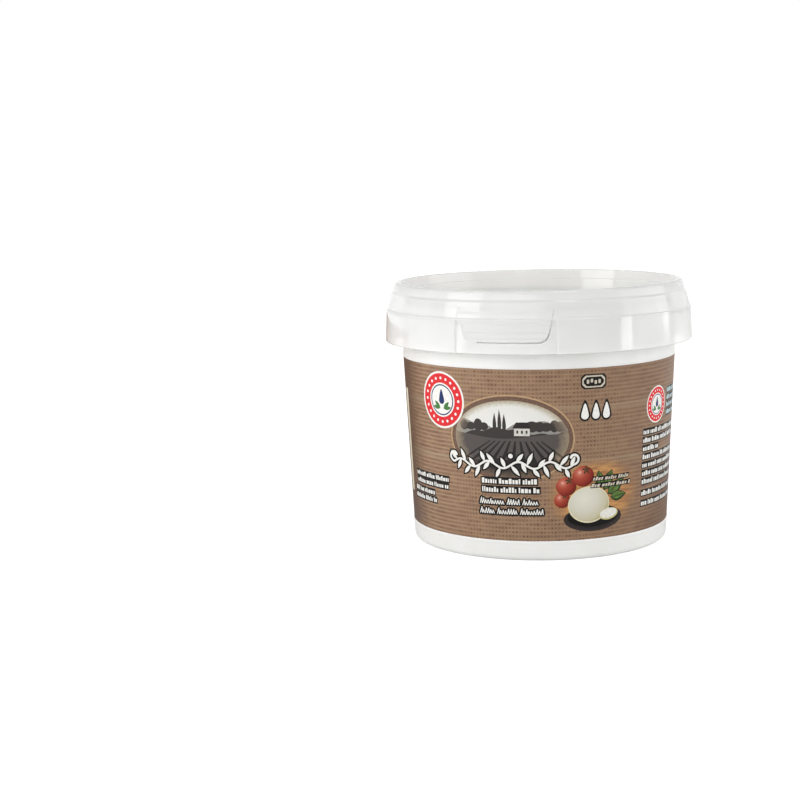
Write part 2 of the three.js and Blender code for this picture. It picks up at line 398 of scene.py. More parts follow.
# ---------------------------------------------------------------------------------------- woven ground
# The ground of the label is a printed picture of coarse brown matting: rows of small dark holes between flat
# strands, two pale bands of thicker strands, and a warm glow where the small food picture stands.

HOLE_PITCH = (1.07, 1.216)  # round and up
FIRST_HOLE = (7.86, 54.96)
HOLE_HALF, HOLE_SOFT = 0.27, 0.13
HOLE_SHARES = (0.32, 0.95)  # how dark the palest and the darkest hole are
# away from the middle, the rows of holes run together into dark lines: from where, to where, how dark
STREAKS_LEFT, STREAKS_RIGHT = (-11, -25, 0.42), (22, 46, 0.36)
STRAND_BROWNS, THREAD_BROWN, HOLE_BROWN = ("#8d6f5a", "#a68769"), "#b2967a", "#5f4238"
BAND_TOPS_Z = (46.3, 30.5)
BAND_FADE, BAND_THREAD, BAND_BROWN = 3.2, 0.85, "#a79177"
BAND_SWAY = 1.6  # how far the bands' strands rise and fall along the label
GLOW_CENTRE, GLOW_REACH = (26.0, 19.5), (16.5, 12.0)
GLOW_BROWNS = ("#ab764b", "#dfa562")
# painted shade: the picture is darkened to its right, most of all low down, and past its left edge
PAINTED_SHADE_WAY, PAINTED_SHADE_FROM, PAINTED_SHADE_TO, PAINTED_SHADE_BROWN = (0.75, -0.66), 17.0, 33.0, "#6b523f"
SIDE_SHADE_FROM, SIDE_SHADE_TO = -25, 45
LEFT_SHADE_FROM, LEFT_SHADE_TO, LEFT_SHADE_BROWN = -29, -46, "#3f2b20"


def matting(tree, place):
    """The colour of the printed matting, in this order: holes, streaks, strands, bands, glow and painted shade.
    """
    to_hole = add_node(tree, "VectorMath", {0: place, 1: (*FIRST_HOLE, 0)}, operation="SUBTRACT")
    cells = add_node(tree, "VectorMath", {0: to_hole, 1: (1 / HOLE_PITCH[0], 1 / HOLE_PITCH[1], 0)},
                     operation="MULTIPLY")
    centred = add_node(tree, "VectorMath", {0: cells, 1: (0.5, 0.5, 0)}, operation="ADD")
    in_cell = add_node(tree, "VectorMath", {0: centred}, operation="FRACTION")
    off_middle = add_node(tree, "VectorMath", {0: in_cell, 1: (0.5, 0.5, 0)}, operation="SUBTRACT")
    distance = add_node(tree, "VectorMath", {0: off_middle}, operation="ABSOLUTE")
    away = add_node(tree, "SeparateXYZ", {0: distance})
    in_column, in_row = [
        add_node(tree, "MapRange", {"Value": away.outputs[axis], "From Min": (HOLE_HALF + HOLE_SOFT) / pitch,
                 "From Max": (HOLE_HALF - HOLE_SOFT) / pitch}, interpolation_type="SMOOTHSTEP")
        for axis, pitch in zip("XY", HOLE_PITCH)]
    cell_number = add_node(tree, "VectorMath", {0: centred}, operation="FLOOR")
    chance = add_node(tree, "TexWhiteNoise", {"Vector": cell_number}, noise_dimensions="2D").outputs["Value"]
    uneven = add_node(tree, "Math", {0: chance, 1: 1.6}, operation="POWER")
    depth = add_node(tree, "MapRange", {"Value": uneven, "To Min": HOLE_SHARES[0], "To Max": HOLE_SHARES[1]})
    hole = add_node(tree, "Math", {0: in_column, 1: depth}, operation="MULTIPLY")

    flat = add_node(tree, "SeparateXYZ", {0: place})
    left, right = [
        add_node(tree, "MapRange", {"Value": flat.outputs["X"], "From Min": start, "From Max": end,
                 "To Min": 0.06, "To Max": most}, interpolation_type="SMOOTHSTEP")
        for start, end, most in (STREAKS_LEFT, STREAKS_RIGHT)]
    even_streak = add_node(tree, "Math", {0: left, 1: right}, operation="MAXIMUM")
    patch_place = add_node(tree, "VectorMath", {0: place, 1: (0.32, 0.8, 0)}, operation="MULTIPLY")
    patches = add_node(tree, "TexNoise", {"Vector": patch_place, "Scale": 1, "Detail": 2})
    patchy = add_node(tree, "MapRange", {"Value": patches, "From Min": 0.35, "From Max": 0.65,
                      "To Min": 0.55, "To Max": 1.35})
    streak = add_node(tree, "Math", {0: even_streak, 1: patchy}, operation="MULTIPLY")
    apart = add_node(tree, "MapRange", {"Value": streak, "From Max": 0.5, "To Min": 1.0, "To Max": 0.1})
    lone_hole = add_node(tree, "Math", {0: hole, 1: apart}, operation="MULTIPLY")
    hole_or_streak = add_node(tree, "Math", {0: lone_hole, 1: streak}, operation="MAXIMUM")
    dark = add_node(tree, "Math", {0: hole_or_streak, 1: in_row}, operation="MULTIPLY")

    # each row of strands takes its own stretch of a pattern that is drawn out along the row
    row_step = add_node(tree, "VectorMath", {0: cell_number, 1: (0, 3.7, 0)}, operation="MULTIPLY")
    along_row = add_node(tree, "VectorMath", {0: place, 1: (0.22, 0.06, 0), 2: row_step},
                         operation="MULTIPLY_ADD")
    strands = add_node(tree, "TexNoise", {"Vector": along_row, "Scale": 1, "Detail": 3, "Roughness": 0.6})
    strand = add_node(tree, "ValToRGB", {"Fac": strands})
    low, high = strand.color_ramp.elements
    low.position, high.position = 0.3, 0.7
    low.color, high.color = [linear(brown) for brown in STRAND_BROWNS]
    between_rows = add_node(tree, "MapRange", {"Value": away.outputs["Y"], "From Min": 0.32,
                            "From Max": 0.48}, interpolation_type="SMOOTHSTEP")
    thread_share = add_node(tree, "MapRange", {"Value": patches, "From Min": 0.3, "From Max": 0.7,
                            "To Min": 0.1, "To Max": 0.55})
    thread = add_node(tree, "Math", {0: between_rows, 1: thread_share}, operation="MULTIPLY")
    ground = add_node(tree, "MixRGB", {"Fac": thread, "Color1": strand.outputs["Color"],
                      "Color2": linear(THREAD_BROWN)})

    wander = add_node(tree, "VectorMath", {0: place, 1: (0.03, 0, 0)}, operation="MULTIPLY")
    sway = add_node(tree, "TexNoise", {"Vector": wander, "Scale": 1.5})
    swayed = add_node(tree, "Math", {0: sway, 1: BAND_SWAY, 2: flat.outputs["Y"]}, operation="MULTIPLY_ADD")
    pale = 0.0
    for top in BAND_TOPS_Z:
        edge = top + BAND_SWAY / 2
        above = add_node(tree, "MapRange", {"Value": swayed, "From Min": edge + 0.3, "From Max": edge})
        below = add_node(tree, "MapRange", {"Value": swayed, "From Min": edge - BAND_FADE, "From Max": edge},
                         interpolation_type="SMOOTHSTEP")
        band = add_node(tree, "Math", {0: above, 1: below}, operation="MULTIPLY")
        pale = add_node(tree, "Math", {0: band, 1: pale}, operation="ADD")
    phase = add_node(tree, "Math", {0: swayed, 1: 2 * math.pi / BAND_THREAD}, operation="MULTIPLY")
    wave = add_node(tree, "Math", {0: phase}, operation="SINE")
    band_thread = add_node(tree, "MapRange", {"Value": wave, "From Min": -1, "To Min": 0.3, "To Max": 0.85})
    bands = add_node(tree, "Math", {0: pale, 1: band_thread}, operation="MULTIPLY")
    banded = add_node(tree, "MixRGB", {"Fac": bands, "Color1": ground, "Color2": linear(BAND_BROWN)})

    from_glow = add_node(tree, "VectorMath", {0: place, 1: (*GLOW_CENTRE, 0)}, operation="SUBTRACT")
    glow_scaled = add_node(tree, "VectorMath", {0: from_glow, 1: (1 / GLOW_REACH[0], 1 / GLOW_REACH[1], 0)},
                           operation="MULTIPLY")
    glow_away = add_node(tree, "VectorMath", {0: glow_scaled}, operation="LENGTH").outputs["Value"]
    glow = add_node(tree, "MapRange", {"Value": glow_away, "From Min": 1.0, "From Max": 0.55},
                    interpolation_type="SMOOTHSTEP")
    grain_place = add_node(tree, "VectorMath", {0: place, 1: (0.16, 1.1, 0)}, operation="MULTIPLY")
    grain = add_node(tree, "TexNoise", {"Vector": grain_place, "Scale": 0.9, "Detail": 2, "Distortion": 0.5})
    wood = add_node(tree, "ValToRGB", {"Fac": grain})
    low, high = wood.color_ramp.elements
    low.position, high.position = 0.38, 0.62
    low.color, high.color = [linear(brown) for brown in GLOW_BROWNS]
    glowing = add_node(tree, "MixRGB", {"Fac": glow, "Color1": banded, "Color2": wood.outputs["Color"]})

    # painted shade, darker to the right and most of all low down
    shadeward = add_node(tree, "VectorMath", {0: place, 1: (*PAINTED_SHADE_WAY, 0)}, operation="DOT_PRODUCT")
    low_painted_shade = add_node(tree, "MapRange", {"Value": shadeward.outputs["Value"], "From Min": PAINTED_SHADE_FROM,
                        "From Max": PAINTED_SHADE_TO, "To Max": 0.7}, interpolation_type="SMOOTHSTEP")
    side_painted_shade = add_node(tree, "MapRange", {"Value": flat.outputs["X"], "From Min": SIDE_SHADE_FROM,
                         "From Max": SIDE_SHADE_TO, "To Max": 0.35})
    painted_shade = add_node(tree, "Math", {0: low_painted_shade, 1: side_painted_shade}, operation="MAXIMUM")
    shaded_ground = add_node(tree, "MixRGB", {"Fac": painted_shade, "Color1": glowing, "Color2": linear(PAINTED_SHADE_BROWN)})
    # painted shade past the left edge
    left_shade = add_node(tree, "MapRange", {"Value": flat.outputs["X"], "From Min": LEFT_SHADE_FROM,
                          "From Max": LEFT_SHADE_TO, "To Max": 0.8}, interpolation_type="SMOOTHSTEP")
    unpitted = add_node(tree, "MixRGB", {"Fac": left_shade, "Color1": shaded_ground, "Color2": linear(LEFT_SHADE_BROWN)})

    clear_of_bands = add_node(tree, "Math", {0: 1.0, 1: bands}, operation="SUBTRACT")
    unlit = add_node(tree, "MapRange", {"Value": glow, "To Min": 1.0, "To Max": 0.0})
    strength = add_node(tree, "Math", {0: dark, 1: clear_of_bands}, operation="MULTIPLY")
    pits = add_node(tree, "Math", {0: strength, 1: unlit}, operation="MULTIPLY")
    pitted = add_node(tree, "MixRGB", {"Fac": pits, "Color1": unpitted, "Color2": linear(HOLE_BROWN)})
    return pitted.outputs["Color"]


LABEL_INKS = {"matting": matting}
label_shapes = []


def print_label(ink, outline, window=None):
    """Prints one shape on the label, and gives its number."""
    label_shapes.append((ink, outline, window))
    return len(label_shapes)


# ----------------------------------------------------------------------------------------- country medallion
# An oval country view printed in warm greys: fields, a wood and a farmhouse under a pale sky, in a narrow
# woven-looking frame with a tan line round it.

MEDALLION = (-0.3, 36.6)
MEDALLION_HALF = (19.2, 13.1)
LINE_WIDTH, FRAME_WIDTH = 0.45, 1.25
HORIZON_Z = 38.6
view_half = [h - LINE_WIDTH - FRAME_WIDTH for h in MEDALLION_HALF]


def fading(shade, edge="#a4947f", start=0.8):
    """Ink of the view, which turns to the tan of old paper towards the frame."""
    return shaded(MEDALLION, view_half, [(0, shade), (start, shade), (1, edge)], 1.3, 0.07)


LABEL_INKS |= {
    "tan": mottled("#bb9c78", "#b08f6a"),
    "frame_brown": mottled("#7a6051", "#5c473a", 0.45),
    "sky": shaded(MEDALLION, view_half, [(0, "#e9e9e6"), (0.85, "#dfded8"), (1, "#ab9f86")]),
    "far_hill": fading("#8f8c87"),
    "wood": fading("#3b3634", "#8a7c6c"),
    "field": fading("#544e4b", "#94856f"),
    "furrow": fading("#2a2625", "#6a5b4d"),
    "plaster": mottled("#d4d2cb", "#bcb9b0"),
}

print_label("tan", ellipse(*MEDALLION, *MEDALLION_HALF, 96))
print_label("frame_brown", ellipse(*MEDALLION, *(h - LINE_WIDTH for h in MEDALLION_HALF), 96))
view = print_label("sky", ellipse(*MEDALLION, *view_half, 96))


def hill(ink, base_z, swings):
    """Ground up to a rolling skyline. swings holds (height, wavelength, shift) of its waves."""
    x = np.linspace(-view_half[0] - 1, view_half[0] + 1, 33)
    z = base_z + sum(h * np.sin(2 * math.pi * (x - shift) / wave) for h, wave, shift in swings)
    below = [(x[-1], MEDALLION[1] - view_half[1] - 1), (x[0], MEDALLION[1] - view_half[1] - 1)]
    print_label(ink, np.concatenate([np.stack([x + MEDALLION[0], z], -1), below]), view)


hill("far_hill", HORIZON_Z + 2.2, [(1.3, 21, 2), (0.5, 9, 0)])
hill("wood", HORIZON_Z + 0.3, [(0.9, 26, -9), (0.4, 7, 1)])
tree_draw = np.random.default_rng(11)
for clump_x in (-14.5, -12.3, -9.8, -7.9, 6.4, 8.6, 10.5, 12.9, 14.6):
    wide, tall = tree_draw.uniform(1.3, 2.1), tree_draw.uniform(1.1, 2.0)
    print_label("wood", ellipse(clump_x, HORIZON_Z + 0.9 + 0.5 * tall, wide, tall, 14), view)
for poplar_x, poplar_height in ((-4.6, 6.4), (-3.1, 7.4), (-1.7, 6.1), (15.9, 4.8)):
    poplar = leaf(poplar_x, HORIZON_Z - 0.6, poplar_height, 1.15, math.pi / 2, fullness=0.75)
    print_label("wood", poplar, view)

HOUSE_LEFT, HOUSE_FOOT, HOUSE_WIDTH, WALL_HEIGHT = 1.2, HORIZON_Z - 1.0, 4.6, 2.3
EAVES, ROOF_TOP = HOUSE_FOOT + 2.2, HOUSE_FOOT + 4.0
WINDOWS, WINDOW_PITCH = 3, 1.35
house_wall = block(HOUSE_LEFT, HOUSE_FOOT, HOUSE_LEFT + HOUSE_WIDTH, HOUSE_FOOT + WALL_HEIGHT)
print_label("plaster", house_wall, view)
print_label("furrow", np.array([(HOUSE_LEFT - 0.5, EAVES), (HOUSE_LEFT + 5.1, EAVES),
                                (HOUSE_LEFT + 4.0, ROOF_TOP), (HOUSE_LEFT + 0.6, ROOF_TOP)]), view)
for number in range(WINDOWS):
    step = WINDOW_PITCH * number
    print_label("wood", block(HOUSE_LEFT + 0.7 + step, HOUSE_FOOT + 0.7, HOUSE_LEFT + 1.25 + step,
                              HOUSE_FOOT + 1.6), view)

hill("field", HORIZON_Z - 1.2, [(0.7, 34, 6)])
FURROWS, FURROW_PITCH = 11, 5.4
FURROW_FOOT_Z, FURROW_TOP_Z = 22, HORIZON_Z - 2.6
VANISHING = 0.28  # how close the furrows' tops stand, as a share of their pitch at the foot
for number in range(FURROWS):
    foot_x = (number - (FURROWS - 1) / 2) * FURROW_PITCH
    top_x = VANISHING * foot_x + 1.5
    print_label("furrow", np.array([(foot_x - 1.5, FURROW_FOOT_Z), (foot_x + 1.1, FURROW_FOOT_Z),
                                    (top_x + 0.25, FURROW_TOP_Z), (top_x - 0.25, FURROW_TOP_Z)]), view)
hill("furrow", 29.5, [(1.2, 40, -12), (0.3, 6, 0)])

# -------------------------------------------------------------------------------------- ornament and lines
# Where a pack carries its name there is a leafy garland, white with a black outline. Lines of small print are
# rows of plain white tiles on a black strip, so that they read as print from afar and say nothing.

GARLAND_REACH, GARLAND_Z = 18.6, 28.9
STEM_WAVE, STEM_SWING, STEM_WIDTH = 9.3, 1.0, 0.6
LEAF_PAIRS, LEAF_PITCH, LEAF_WIDTH = 11, GARLAND_REACH / 11.6, 1.15
CURL_RADIUS, BERRY_RADIUS, BERRY_RISE = 1.75, 0.7, 2.7
OUTLINE = 0.5
TILE_WIDTHS, TILE_RISES = (0.42, 0.95), (0.72, 0.8, 1.0)
TILE_GAP, WORD_GAP, WORD_TILES = 0.24, 0.5, (3, 8)
LABEL_INKS |= {
    "white": mottled("#f0efeb", "#e5e3dc"),
    "black": mottled("#0e0c0b", "#080706"),
    "pale_line": mottled("#cfc6b6", "#c0b6a4"),
}


def garland(ink, grow):
    """A wavy stem with leaves to both sides, a curl at each end and a berry; grow makes its outline."""
    x = np.linspace(-GARLAND_REACH, GARLAND_REACH, 61)
    stem = np.stack([x, GARLAND_Z + STEM_SWING * np.sin(x * 2 * math.pi / STEM_WAVE)], -1)
    print_label(ink, ribbon(stem, STEM_WIDTH + 2 * grow))
    for side in (-1, 1):
        t = np.linspace(0.0, 1.35 * math.pi, 15)
        size = CURL_RADIUS * (1 - 0.36 * t / math.pi)
        start_x, start_z = stem[0 if side < 0 else -1]
        curl = np.stack([start_x + side * size * np.sin(t), start_z + CURL_RADIUS - size * np.cos(t)], -1)
        print_label(ink, ribbon(curl, np.linspace(STEM_WIDTH, 0.8, len(t)) + 2 * grow))
    for number in range(-LEAF_PAIRS, LEAF_PAIRS + 1):
        at = number * LEAF_PITCH
        z = GARLAND_Z + STEM_SWING * math.sin(at * 2 * math.pi / STEM_WAVE)
        up = 1 if number % 2 else -1
        lean = math.radians(50 if number % 4 in (0, 1) else 66)
        turn = up * lean if number >= 0 else math.pi - up * lean
        print_label(ink, leaf(at, z, 3.4 if number % 3 else 4.2, LEAF_WIDTH, turn, grow))
    print_label(ink, ellipse(0, GARLAND_Z + BERRY_RISE, BERRY_RADIUS + grow, BERRY_RADIUS + grow, 14))


garland("black", OUTLINE)
garland("white", 0)

tile_draw = np.random.default_rng(5)


def small_print(left, right, middle_z, height, slant=0.0, ink="white", margin=0.42):
    """One row of tiles in word-long groups on a black strip."""
    bottom = middle_z - height / 2
    tiles = []
    x = left
    while x < right - 0.8:
        for _ in range(tile_draw.integers(*WORD_TILES)):
            width = tile_draw.uniform(*TILE_WIDTHS)
            if x + width > right:
                break
            rise = tile_draw.choice(TILE_RISES)
            tiles.append((x, bottom, x + width, bottom + height * rise))
            x += width + TILE_GAP
        x += WORD_GAP
    end = max(tile[2] for tile in tiles)
    strip = block(left - margin, bottom - margin, end + margin, bottom + height + margin, 0.3, slant)
    print_label("black", strip)
    for tile in tiles:
        print_label(ink, block(*tile, slant=slant * (tile[3] - tile[1]) / height))


for row_z, row_right in ((24.0, 8.1), (21.4, 9.2)):
    small_print(-9.2, row_right, row_z, 1.55)


def scribble(left, right, middle_z, height):
    """A row of slanting up and down strokes in word-long groups, which stands for a line of handwriting."""
    strokes = []
    x = left
    while x < right - 2:
        for number in range(tile_draw.integers(4, 11)):
            tall = tile_draw.choice([0.6, 0.7, 1.0]) if number else 1.15
            top, foot = middle_z - height / 2 + tall * height, middle_z - height / 2 - 0.1
            strokes.append([(x, foot), (x + 0.45 * tall, top)])
            strokes.append([(x + 0.45 * tall, top - 0.1), (x + 0.62, foot)])
            x += 0.78
            if x > right:
                break
        x += 0.85
    for ink, width in (("black", 1.25), ("white", 0.26)):
        for stroke in strokes:
            print_label(ink, ribbon(stroke, width, 3))


for row_z, row_right in ((17.9, 9.7), (15.0, 9.9)):
    scribble(-10.0, row_right, row_z, 1.4)
for row_z, row_left, row_right in ((22.8, -39.8, -21.2), (20.6, -39.4, -20.9), (17.9, -41.2, -27.4),
                                   (15.6, -41.6, -27.2)):
    small_print(row_left, row_right, row_z, 1.35)

# Three milk drops stand where the contents are stated, and an eight-sided stamp with four blank blocks above
# them.
DROP_LEFT, DROP_Z, DROP_PITCH, DROP_RADIUS, DROP_HEIGHT = 21.9, 43.2, 3.4, 1.15, 3.6
for grow, drop_ink in ((0.55, "black"), (0.0, "white")):
    for number in range(3):
        middle_x = DROP_LEFT + DROP_PITCH * number
        print_label(drop_ink, drop(middle_x, DROP_Z, DROP_RADIUS, DROP_HEIGHT, grow=grow))
STAMP, STAMP_HALF, STAMP_CORNER = (24.5, 53.1), (3.95, 2.2), 0.95
for shrink, stamp_ink in ((0.0, "black"), (0.42, "pale_line"), (0.85, "black")):
    half_wide, half_tall = STAMP_HALF[0] - shrink, STAMP_HALF[1] - shrink
    corners = [(half_wide - STAMP_CORNER, -half_tall), (half_wide, STAMP_CORNER - half_tall),
               (half_wide, half_tall - STAMP_CORNER), (half_wide - STAMP_CORNER, half_tall)]
    corners += [(-x, z) for x, z in reversed(corners)]
    print_label(stamp_ink, np.array(corners) + STAMP)
for number, (low, high) in enumerate(((-0.6, 0.6), (-0.3, 0.8), (-0.8, 0.3), (-0.6, 0.6))):
    left = STAMP[0] - 2.2 + 1.2 * number
    print_label("pale_line", block(left, STAMP[1] + low, left + 0.75, STAMP[1] + high, 0.2))

# --------------------------------------------------------------------------------------------- round seals
# Round red and white seals with a ring of beads, and a milk drop between two leaves in the middle.

LABEL_INKS |= {
    "red": mottled("#de2a32", "#d4242c"),
    "navy": mottled("#1c3168", "#172a5a"),
    "leaf_green": mottled("#47803f", "#386c37"),
}
SEAL_RINGS =((1.0, "white"), (0.93, "red"), (0.6, "white"), (0.545, "navy"), (0.5, "white"))
SEAL_BEADS, BEADS_AT, BEAD_SHARE = 20, 0.765, 0.052  # shares of the seal's radius


def seal(x, z, radius):
    """Prints a seal of this radius on the label."""
    for share, ink in SEAL_RINGS:
        print_label(ink, ellipse(x, z, share * radius, share * radius, 56))
    for number in range(SEAL_BEADS):
        t = 2 * math.pi * number / SEAL_BEADS
        middle = (x + BEADS_AT * radius * math.cos(t), z + BEADS_AT * radius * math.sin(t))
        print_label("white", ellipse(*middle, BEAD_SHARE * radius, BEAD_SHARE * radius, 8))
    for side in (-1, 1):
        for lean in (0.15, 0.75):
            turn = lean if side > 0 else math.pi - lean
            start = (x + side * 0.08 * radius, z - 0.3 * radius)
            print_label("leaf_green", leaf(*start, 0.36 * radius, 0.14 * radius, turn))
    print_label("navy", drop(x, z - 0.02 * radius, 0.13 * radius, 0.4 * radius))


seal(-22.8, 46.9, 8.55)
seal(50.1, 43.8, 5.6)

# ------------------------------------------------------------------------------------------- food picture
# A small picture to say what is inside: a white cheese with a slice beside it on a dark dish, with tomatoes
# to its left and leaves to its right.

DISH, CHEESE = (25.2, 12.4), (23.6, 16.6)
TOMATOES = ((15.2, 18.3, 2.5), (16.4, 22.4, 3.1), (21.6, 25.2, 3.4))  # x, z and radius
TOMATO_REDS = [(0, "#e6b3a1"), (0.15, "#c26b58"), (0.4, "#a64735"), (0.75, "#8a2d20"), (1, "#5f1a14")]
BASIL_LEAVES = ((28.4, 20.6, 6.4, 1.15), (29.8, 19.4, 6.8, 0.62),  # x, z, length and turn
                (30.8, 18.2, 5.6, 0.1), (27.4, 21.4, 5.2, 1.75))
LABEL_INKS |= {
    "dish": shaded((DISH[0], DISH[1] + 1), (10, 4.6), [(0, "#181415"), (0.7, "#1c1717"), (1, "#352e2d")]),
    "cheese": shaded((CHEESE[0] - 1.6, CHEESE[1] + 1.8), (8.6, 7.6),
                     [(0, "#e0ddcf"), (0.5, "#d3d0c0"), (0.85, "#c6bfa3"), (1, "#b0a47c")]),
    "cheese_edge": mottled("#e5dfbf", "#d6cda4"),
    "slice": mottled("#e9e8e2", "#dedbd0"),
    "rind": mottled("#cdc48f", "#bdb27b"),
    "basil": mottled("#66803c", "#465f2c", 1.6),
    "basil_dark": mottled("#2d4023", "#20301a", 1.2),
}

for number, (tomato_x, tomato_z, size) in enumerate(TOMATOES):
    shine = (tomato_x - 0.35 * size, tomato_z + 0.35 * size)
    stalk = (tomato_x + 0.25 * size, tomato_z + 0.55 * size)
    LABEL_INKS[f"tomato_{number}"] = shaded(shine, (1.4 * size, 1.4 * size), TOMATO_REDS)
    print_label(f"tomato_{number}", ellipse(tomato_x, tomato_z, size, 0.92 * size, 32))
    for sepal in range(5):
        turn = 2 * math.pi * sepal / 5 + 0.4
        print_label("basil_dark", leaf(*stalk, 0.42 * size, 0.16 * size, turn, points=5))
for leaf_x, leaf_z, length, turn in BASIL_LEAVES:
    print_label("basil_dark", leaf(leaf_x, leaf_z, length, 0.52 * length, turn, 0.16, fullness=0.8))
    print_label("basil", leaf(leaf_x + 0.1, leaf_z + 0.2, 0.93 * length, 0.4 * length, turn, fullness=0.8))
    across, up = np.array([math.cos(turn), math.sin(turn)]) * length
    vein = [(leaf_x, leaf_z), (leaf_x + 0.85 * across, leaf_z + 0.85 * up)]
    print_label("basil_dark", ribbon(vein, 0.22, 1))
print_label("dish", ellipse(*DISH, 9.6, 3.9, 56))
print_label("black", ellipse(DISH[0], DISH[1] + 0.5, 8.4, 3.0, 48))
print_label("cheese_edge", ellipse(*CHEESE, 6.7, 5.5, 56))
print_label("cheese", ellipse(CHEESE[0] + 0.05, CHEESE[1] + 0.1, 6.4, 5.2, 56))
print_label("rind", ellipse(30.2, 13.3, 3.3, 1.75, 32, 0.12))
print_label("slice", ellipse(30.1, 13.5, 2.95, 1.45, 32, 0.12))
small_print(24.6, 37.6, 24.2, 1.05, slant=0.4, ink="pale_line", margin=0.25)
small_print(24.0, 38.6, 22.2, 1.05, slant=0.4, ink="pale_line", margin=0.25)

# --------------------------------------------------------------------------------- sides and back of print
# A column of small print and a pale blue table stand at the right. Round the back lie a cream table with its
# lines turned upright, a plain umber field with another seal, and a slate panel with a few wavy strokes.

LABEL_INKS |= {
    "pale_blue": mottled("#c9dde0", "#b3cbd0"),
    "cream": mottled("#ddd5c1", "#d3cab4", 2.0),
    "umber": mottled("#4b3b31", "#41332a", 2.5),
    "slate": mottled("#6f747a", "#5f646a", 2.5),
}
HALF_TURN = math.pi * PRINT_RADIUS  # the film's two ends meet here, at the back

COLUMN_ROWS_Z = [36.1 - 2.5 * row for row in range(7)] + [17.6, 14.5]
for number, row_z in enumerate(COLUMN_ROWS_Z):
    small_print(43.4, 52.5 if number == 2 else 66.5, row_z, 1.45, margin=0.35)
for number in range(4):
    small_print(57.2, 68.5, 47.2 - 2.25 * number, 1.4, ink="pale_blue", margin=0.35)

UMBER_FROM, UMBER_TO = 104, -99  # the plain field runs from here round the back to here
TABLE_LEFT, TABLE_FOOT, TABLE_RIGHT, TABLE_TOP = -99.0, 15.8, -52.0, 47.8
TABLE_LINES, TABLE_PITCH = 10, 4.55
TABLE_RUNS = ((2.0, 16), (18.0, 2))  # a line holds two rows of blocks, so far from the foot and from the top
print_label("umber", block(-HALF_TURN - 1, LABEL_BOTTOM_Z - 1, UMBER_TO, LABEL_TOP_Z + 1))
print_label("umber", block(UMBER_FROM, LABEL_BOTTOM_Z - 1, HALF_TURN + 1, LABEL_TOP_Z + 1))
print_label("cream", block(-48.3, TABLE_FOOT, -45.0, TABLE_TOP))
print_label("cream", block(TABLE_LEFT, TABLE_FOOT, TABLE_RIGHT, TABLE_TOP))
for number in range(TABLE_LINES):
    rule_x = TABLE_LEFT + 3.2 + TABLE_PITCH * number
    print_label("black", block(rule_x, TABLE_FOOT + 1.2, rule_x + 0.22, TABLE_TOP - 1.2))
    for half, (from_foot, from_top) in enumerate(TABLE_RUNS):
        z = TABLE_FOOT + from_foot
        for _ in range(3 + (number + half) % 3):
            stretch = tile_draw.uniform(2.0, 4.6)
            if z + stretch < TABLE_TOP - from_top:
                print_label("umber", block(rule_x + 1.5, z, rule_x + 2.5, z + stretch, 0.2))
            z += stretch + 0.9
seal(-114, 42.5, 7.6)
for number in range(4):
    small_print(-122.5, -105.5 - 3 * (number % 2), 29.6 - 2.6 * number, 1.4)
print_label("slate", block(107, 12, 127.4, 52, 1.2))
for number in range(5):
    z = np.linspace(15, 49, 25)
    x = 110 + 3.6 * number + 0.9 * np.sin(z / 4.1 + number)
    print_label("cream", ribbon(np.stack([x, z], -1), 0.5 + 0.35 * np.sin(z / 3.3) ** 2))
for number in range(6):
    small_print(76, 98 - 4 * (number % 3), 40.5 - 3.1 * number, 1.5)


def round_the_wall(flat):
    """Bends the flat print round the pot's wall."""
    angle = flat[:, 0] / PRINT_RADIUS
    radius = wall_radius(flat[:, 1]) - FILM_INSET
    places = np.stack([radius * np.sin(angle), -radius * np.cos(angle), flat[:, 1]], -1)
    lean = math.atan(WALL_TAPER)
    facing = np.stack([math.cos(lean) * np.sin(angle), -math.cos(lean) * np.cos(angle),
                       np.full(len(flat), -math.sin(lean))], -1)
    return places, facing


film_low, film_high = LABEL_BOTTOM_Z + FILM_MARGIN, LABEL_TOP_Z - FILM_MARGIN
creases = [[(x, film_low), (x, film_high)]
           for x in np.linspace(-HALF_TURN, HALF_TURN, round(2 * HALF_TURN / FOLD_PITCH) + 1)[1:-1]]
label_cut = cut_print(block(-HALF_TURN, film_low, HALF_TURN, film_high), "matting", label_shapes, creases)
for ink, piece in film_pieces("label", *label_cut, round_the_wall, FILM_THICKNESS).items():
    piece.data.materials.append(satin_film(ink, LABEL_INKS[ink]))
    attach(piece, "root")
    if ink == "matting":
        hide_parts("label")

# ------------------------------------------------------------------------------------------------- lid
# The lid is one thin shell of natural, unfilled polypropylene: a sunk panel for the next pot to stand on, a
# rolled rim, a sloping shoulder and a skirt. At the front a tab stands in a shallow sunk field, ringed by a
# slit that opens along its foot and its right-hand corner, with three grip ridges across it.

LID_WALL = 0.85
PANEL_Z = 73.2
PANEL_RADIUS = 39.9
LEDGE_Z = 77.0
LEDGE_INNER_RADIUS, LEDGE_OUTER_RADIUS = 40.75, 41.45
TOP_Z = 79.9
RIM_INNER_RADIUS, RIM_OUTER_RADIUS, RIM_ROUND, RIM_OUTER_ROUND = 42.3, 44.15, 0.55, 1.2
NECK_RADIUS, NECK_Z = 44.75, 77.15
SHOULDER_TOP_RADIUS, SHOULDER_TOP_Z = 45.2, 76.7
SHOULDER_FOOT_RADIUS, SHOULDER_FOOT_Z = 46.35, 72.2
RIDGE_RADIUS, RIDGE_Z = 46.85, 71.8
SKIRT_RADIUS, SKIRT_BOTTOM_Z, SKIRT_ROUND = 47.28, 61.9, 0.3

